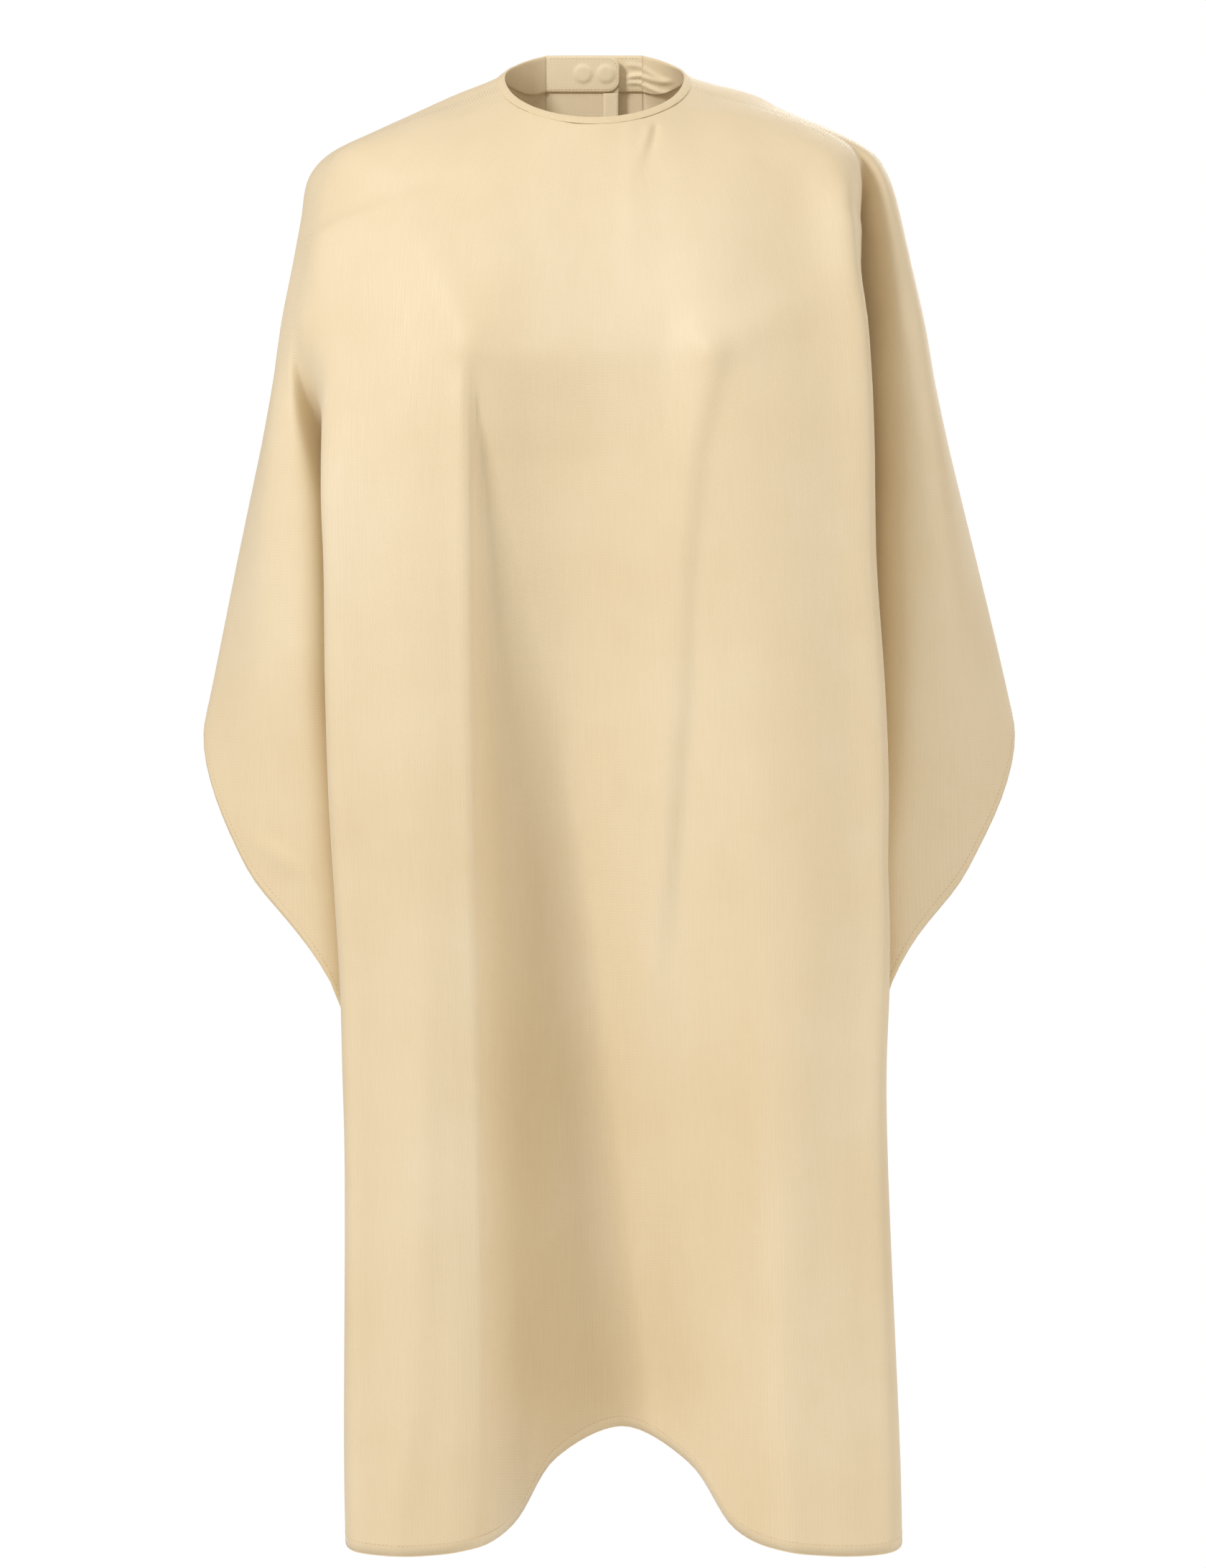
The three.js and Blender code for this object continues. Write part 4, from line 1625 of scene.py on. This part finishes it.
@dataclass
class PressStuds:
    """The four kinds of pressed metal piece of the closure, turned about the line of each stud."""

    drape: Drape
    looks: Wardrobe
    steps: int = 40
    sharp_angle: float = 0.6  # radians past which an edge is softened
    softening: float = 0.14 * MM

    def turned(
        self, name: str, profile: Sequence[tuple[float, float]], place: float, body: str
    ) -> bpy.types.Object:
        """Turns a profile about one stud's line and softens its edges.

        Args:
            name: The CAD node that the piece stands for.
            profile: Radius and level pairs, in millimetres, round the section.
            place: The stud's place, in pitches from the middle.
            body: The body that it rides on.

        Returns:
            The piece.
        """
        s = self.drape.sizes
        bm = bmesh.new()
        verts = [bm.verts.new((radius * MM, 0, level * MM)) for radius, level in profile]
        ends = zip(verts, verts[1:] + ([verts[0]] if profile[0][0] > 0 else []))
        edges = [bm.edges.new(pair) for pair in ends]
        bmesh.ops.spin(
            bm, geom=[*verts, *edges], cent=(0, 0, 0), axis=(0, 0, 1), angle=2 * math.pi,
            steps=self.steps, use_merge=True, use_normal_flip=False, use_duplicate=False,
        )
        bmesh.ops.remove_doubles(bm, verts=bm.verts, dist=1e-6)
        bmesh.ops.recalc_face_normals(bm, faces=bm.faces)
        sharp = [e for e in bm.edges if e.is_manifold and e.calc_face_angle(0) > self.sharp_angle]
        bmesh.ops.bevel(
            bm, geom=sharp, offset=self.softening, offset_type="OFFSET", segments=2, profile=0.5,
            affect="EDGES", material=-1, clamp_overlap=True,
        )
        mesh = bpy.data.meshes.new(name + "_metal")
        bm.to_mesh(mesh)
        bm.free()
        middle = self.drape.back_point(place * s.snap_pitch, s.band_back_height / 2, 0)
        axes = (Vector((1, 0, 0)), Vector(s.back_down), Vector(s.back_out))
        turn = Matrix(axes).transposed().to_4x4()
        mesh.transform(Matrix.Translation(Vector(middle)) @ turn)
        if turn.determinant() < 0:
            mesh.flip_normals()
        mesh.shade_smooth()
        piece = show(name + "_metal", mesh, self.looks.made["metal"])
        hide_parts(name)
        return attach(piece, body)

    def build(self) -> list[bpy.types.Object]:
        """Makes every cap, socket, stud and rivet.

        Returns:
            The metal pieces.
        """
        made = []
        for n, place in enumerate(SOCKET_PLACES, start=1):
            made.append(self.turned(f"snap_cap_{n}", CAP_PROFILE, place, "over_half"))
            made.append(self.turned(f"snap_socket_{n}", SOCKET_PROFILE, place, "over_half"))
        for n, place in enumerate(STUD_PLACES, start=1):
            made.append(self.turned(f"snap_stud_{n}", STUD_PROFILE, place, "under_half"))
            made.append(self.turned(f"snap_rivet_{n}", RIVET_PROFILE, place, "under_half"))
        return made


# Sections of the press studs as radius and level outwards, in millimetres.
CAP_PROFILE = (
    (0, 6.9), (1.5, 6.9), (1.5, 10.9), (5.7, 10.9), (6.2, 11.1), (6.2, 11.5), (5.9, 11.9),
    (5.2, 12.25), (4.3, 12.45), (3.6, 12.4), (2.4, 12.55), (1.2, 12.68), (0, 12.7),
)
SOCKET_PROFILE = (
    (3.1, 4.1), (3.7, 3.95), (4.3, 4.1), (4.9, 4.7), (5.4, 5.5), (5.4, 7.5), (1.9, 7.5),
    (1.9, 6.8), (3.1, 6.8), (2.6, 5.6), (2.6, 4.9),
)
STUD_PROFILE = (
    (1.4, 3.1), (4.8, 3.1), (5.0, 3.3), (5.0, 3.7), (4.6, 3.85), (2.6, 3.8), (1.75, 4.0),
    (1.8, 4.5), (2.1, 5.1), (2.0, 5.8), (1.7, 6.2), (1.1, 6.4), (0, 6.4), (0, 5.9), (1.4, 5.9),
)
RIVET_PROFILE = (
    (0, -1.0), (2.6, -0.95), (4.1, -0.8), (4.4, -0.55), (4.4, -0.3), (1.0, -0.3), (1.0, 5.4),
    (0, 5.4),
)


@dataclass
class Studio:
    """Camera, soft lamps, bright air all round and a plain pale floor below the cape."""

    distance: float = 5.0
    centre: tuple[float, float] = (0.0066, -0.544)
    height: float = 1.206
    floor: float = -1.5
    floor_radius: float = 2.6
    key_power: float = 90.0
    side_power: float = 36.0
    top_power: float = 12.0
    back_power: float = 55.0
    air_light: float = 0.48
    air_tint: str = "#FFF4E4"
    aim: tuple[float, float, float] = (0.0, 0.0, -0.3)

    def build(self) -> None:
        """Sets up the whole stage."""
        self.build_camera()
        self.build_air()
        self.add_light("key", (-2.2, -2.6, 1.85), 0.8, self.key_power)
        self.add_light("side", (4.0, -1.0, 0.2), 1.5, self.side_power)
        self.add_light("top", (0.3, -2.0, 2.4), 1.2, self.top_power)
        self.add_light("back_light", (1.2, 3.4, 1.4), 2.4, self.back_power)
        bm = bmesh.new()
        bmesh.ops.create_circle(bm, cap_ends=True, segments=96, radius=self.floor_radius)
        bmesh.ops.translate(bm, verts=bm.verts, vec=(0, 0, self.floor))
        mesh = bpy.data.meshes.new("floor")
        bm.to_mesh(mesh)
        bm.free()
        show("floor", mesh, PaintedBoard().build())

    def build_camera(self) -> None:
        """Makes the camera, level and square to the front of the cape."""
        data = bpy.data.cameras.new("camera")
        data.sensor_fit = "VERTICAL"
        data.sensor_height = 36.0
        data.lens = data.sensor_height / 2 / (self.height / 2 / self.distance)
        camera = bpy.data.objects.new("camera", data)
        camera.location = (self.centre[0], -self.distance, self.centre[1])
        camera.rotation_euler = (math.radians(90), 0, 0)
        scene = bpy.context.scene
        scene.collection.objects.link(camera)
        scene.camera = camera
        scene.view_settings.view_transform = "Standard"

    def build_air(self) -> None:
        """Makes the air: plain white to look at, and a soft warm light on the cloth."""
        world = bpy.data.worlds.new("studio_air")
        world.use_nodes = True
        tree = world.node_tree
        tree.nodes.clear()
        seen = add_node(tree, "ShaderNodeBackground", {"Color": linear("#FFFFFF"), "Strength": 1.0})
        warm = {"Color": linear(self.air_tint), "Strength": self.air_light}
        glow = add_node(tree, "ShaderNodeBackground", warm)
        rays = add_node(tree, "ShaderNodeLightPath")
        feeds = {0: rays.outputs["Is Camera Ray"], 1: glow.outputs[0], 2: seen.outputs[0]}
        both = add_node(tree, "ShaderNodeMixShader", None, feeds)
        add_node(tree, "ShaderNodeOutputWorld", None, {"Surface": both.outputs[0]})
        bpy.context.scene.world = world

    def add_light(
        self, name: str, place: tuple[float, float, float], size: float, power: float
    ) -> None:
        """Adds a soft square lamp that faces the middle of the cape.

        Args:
            name: The lamp's name.
            place: Where it stands.
            size: The length of its side.
            power: Its power in watts.
        """
        data = bpy.data.lights.new(name, "AREA")
        data.size = size
        data.energy = power
        lamp = bpy.data.objects.new(name, data)
        lamp.location = place
        aim = Vector(self.aim) - Vector(place)
        lamp.rotation_euler = aim.to_track_quat("-Z", "Y").to_euler()
        bpy.context.scene.collection.objects.link(lamp)


# The soft folds of the front: ridges and hollows by their lines (across and up), in millimetres.
FRONT_FOLDS = (
    Trough(
        (
            (-222, -97, -90, -40, 84, 0, 0),
            (-262, -96, -88, -40, 76, 10, 0),
            (-300, -96, -84, -36, 70, 17, 0),
            (-400, -95, -79, -30, 62, 24, 0),
            (-540, -93, -72, -20, 58, 30, 3),
            (-700, -90, -64, 0, 62, 34, 9),
            (-850, -88, -56, 10, 74, 36, 16),
            (-1000, -88, -52, 24, 90, 36, 22),
            (-1130, -88, -52, 30, 98, 36, 24),
        )
    ),
    SoftFold(((-176, -58), (-140, -120), (-98, -205)), (0.5, 3.0, 5.0), (14, 16, 20)),
    SoftFold(((90, -215), (150, -190), (200, -165)), (5.0, 2.5, 0.5), (20, 18, 16)),
    SoftFold(
        ((88, -222), (72, -296), (64, -385), (61, -490), (52, -600), (38, -710), (33, -820),
         (35, -985)),
        (4.5, 5.5, 5.5, 5.0, 4.5, 4.0, 3.5, 2.5),
        (16, 13, 12, 12, 12, 12, 11, 11),
        -0.4,
    ),
    SoftFold(((-98, -225), (-96, -400), (-92, -600), (-84, -850), (-76, -1090)),
             (2.5, 4.5, 6.0, 6.0, 5.0), (14, 12, 13, 13, 13), 0.3),
    SoftFold(((-129, -620), (-130, -800), (-134, -1000)), (0.5, 2.4, 1.5), (8, 8, 9)),
    SoftFold(((-137, -1015), (-150, -1105)), (2.5, 3.0), (7, 7)),
    SoftFold(((120, -720), (126, -850), (133, -1010)), (0.5, 2.4, 2.0), (8, 8, 9)),
    SoftFold(((22, -745), (30, -830), (36, -925)), (1.0, 2.6, 1.0), (8, 9, 9)),
    SoftFold(((41, -47), (38, -60), (33, -82)), (1.6, 1.6, 0.3), (3.0, 4.0, 7.0)),
    SoftFold(((47, -46), (44, -58), (38, -80)), (-2.8, -2.6, -0.4), (2.6, 3.2, 5.0)),
    SoftFold(((27, -48), (28, -110), (27, -178)), (1.2, 1.8, 0.2), (7, 10, 14), 0.5),
    SoftFold(((-268, -588), (-240, -600), (-214, -612)), (1.5, 3.5, 1.0), (7, 9, 7)),
)


def main() -> None:
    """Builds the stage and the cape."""
    logging.basicConfig(level=logging.INFO, format="%(message)s")
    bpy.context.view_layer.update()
    Studio().build()
    looks = Wardrobe()
    drape = Drape(folds=FRONT_FOLDS)
    body = CapeBody(drape, looks)
    band = NeckBand(drape, looks)
    cloth = body.build_cloth()
    on_cape = [body.build_hem(), body.build_stitches(), band.build(), band.build_stitches()]
    LOG.info("cape cloth with its hem and neck band: %d pieces", 1 + len(on_cape))
    for side in Side:
        half = ClosingHalf(side, drape, looks)
        back = half.build_cloth()
        on_back = [half.build_hem(), half.build_facing(), *half.build_tab(), half.build_stitches()]
        LOG.info("%s half of the back: %d pieces", side.word, 1 + len(on_back))
    metal = PressStuds(drape, looks).build()
    LOG.info("press studs: %d pieces", len(metal))


if __name__ == "__main__":
    main()
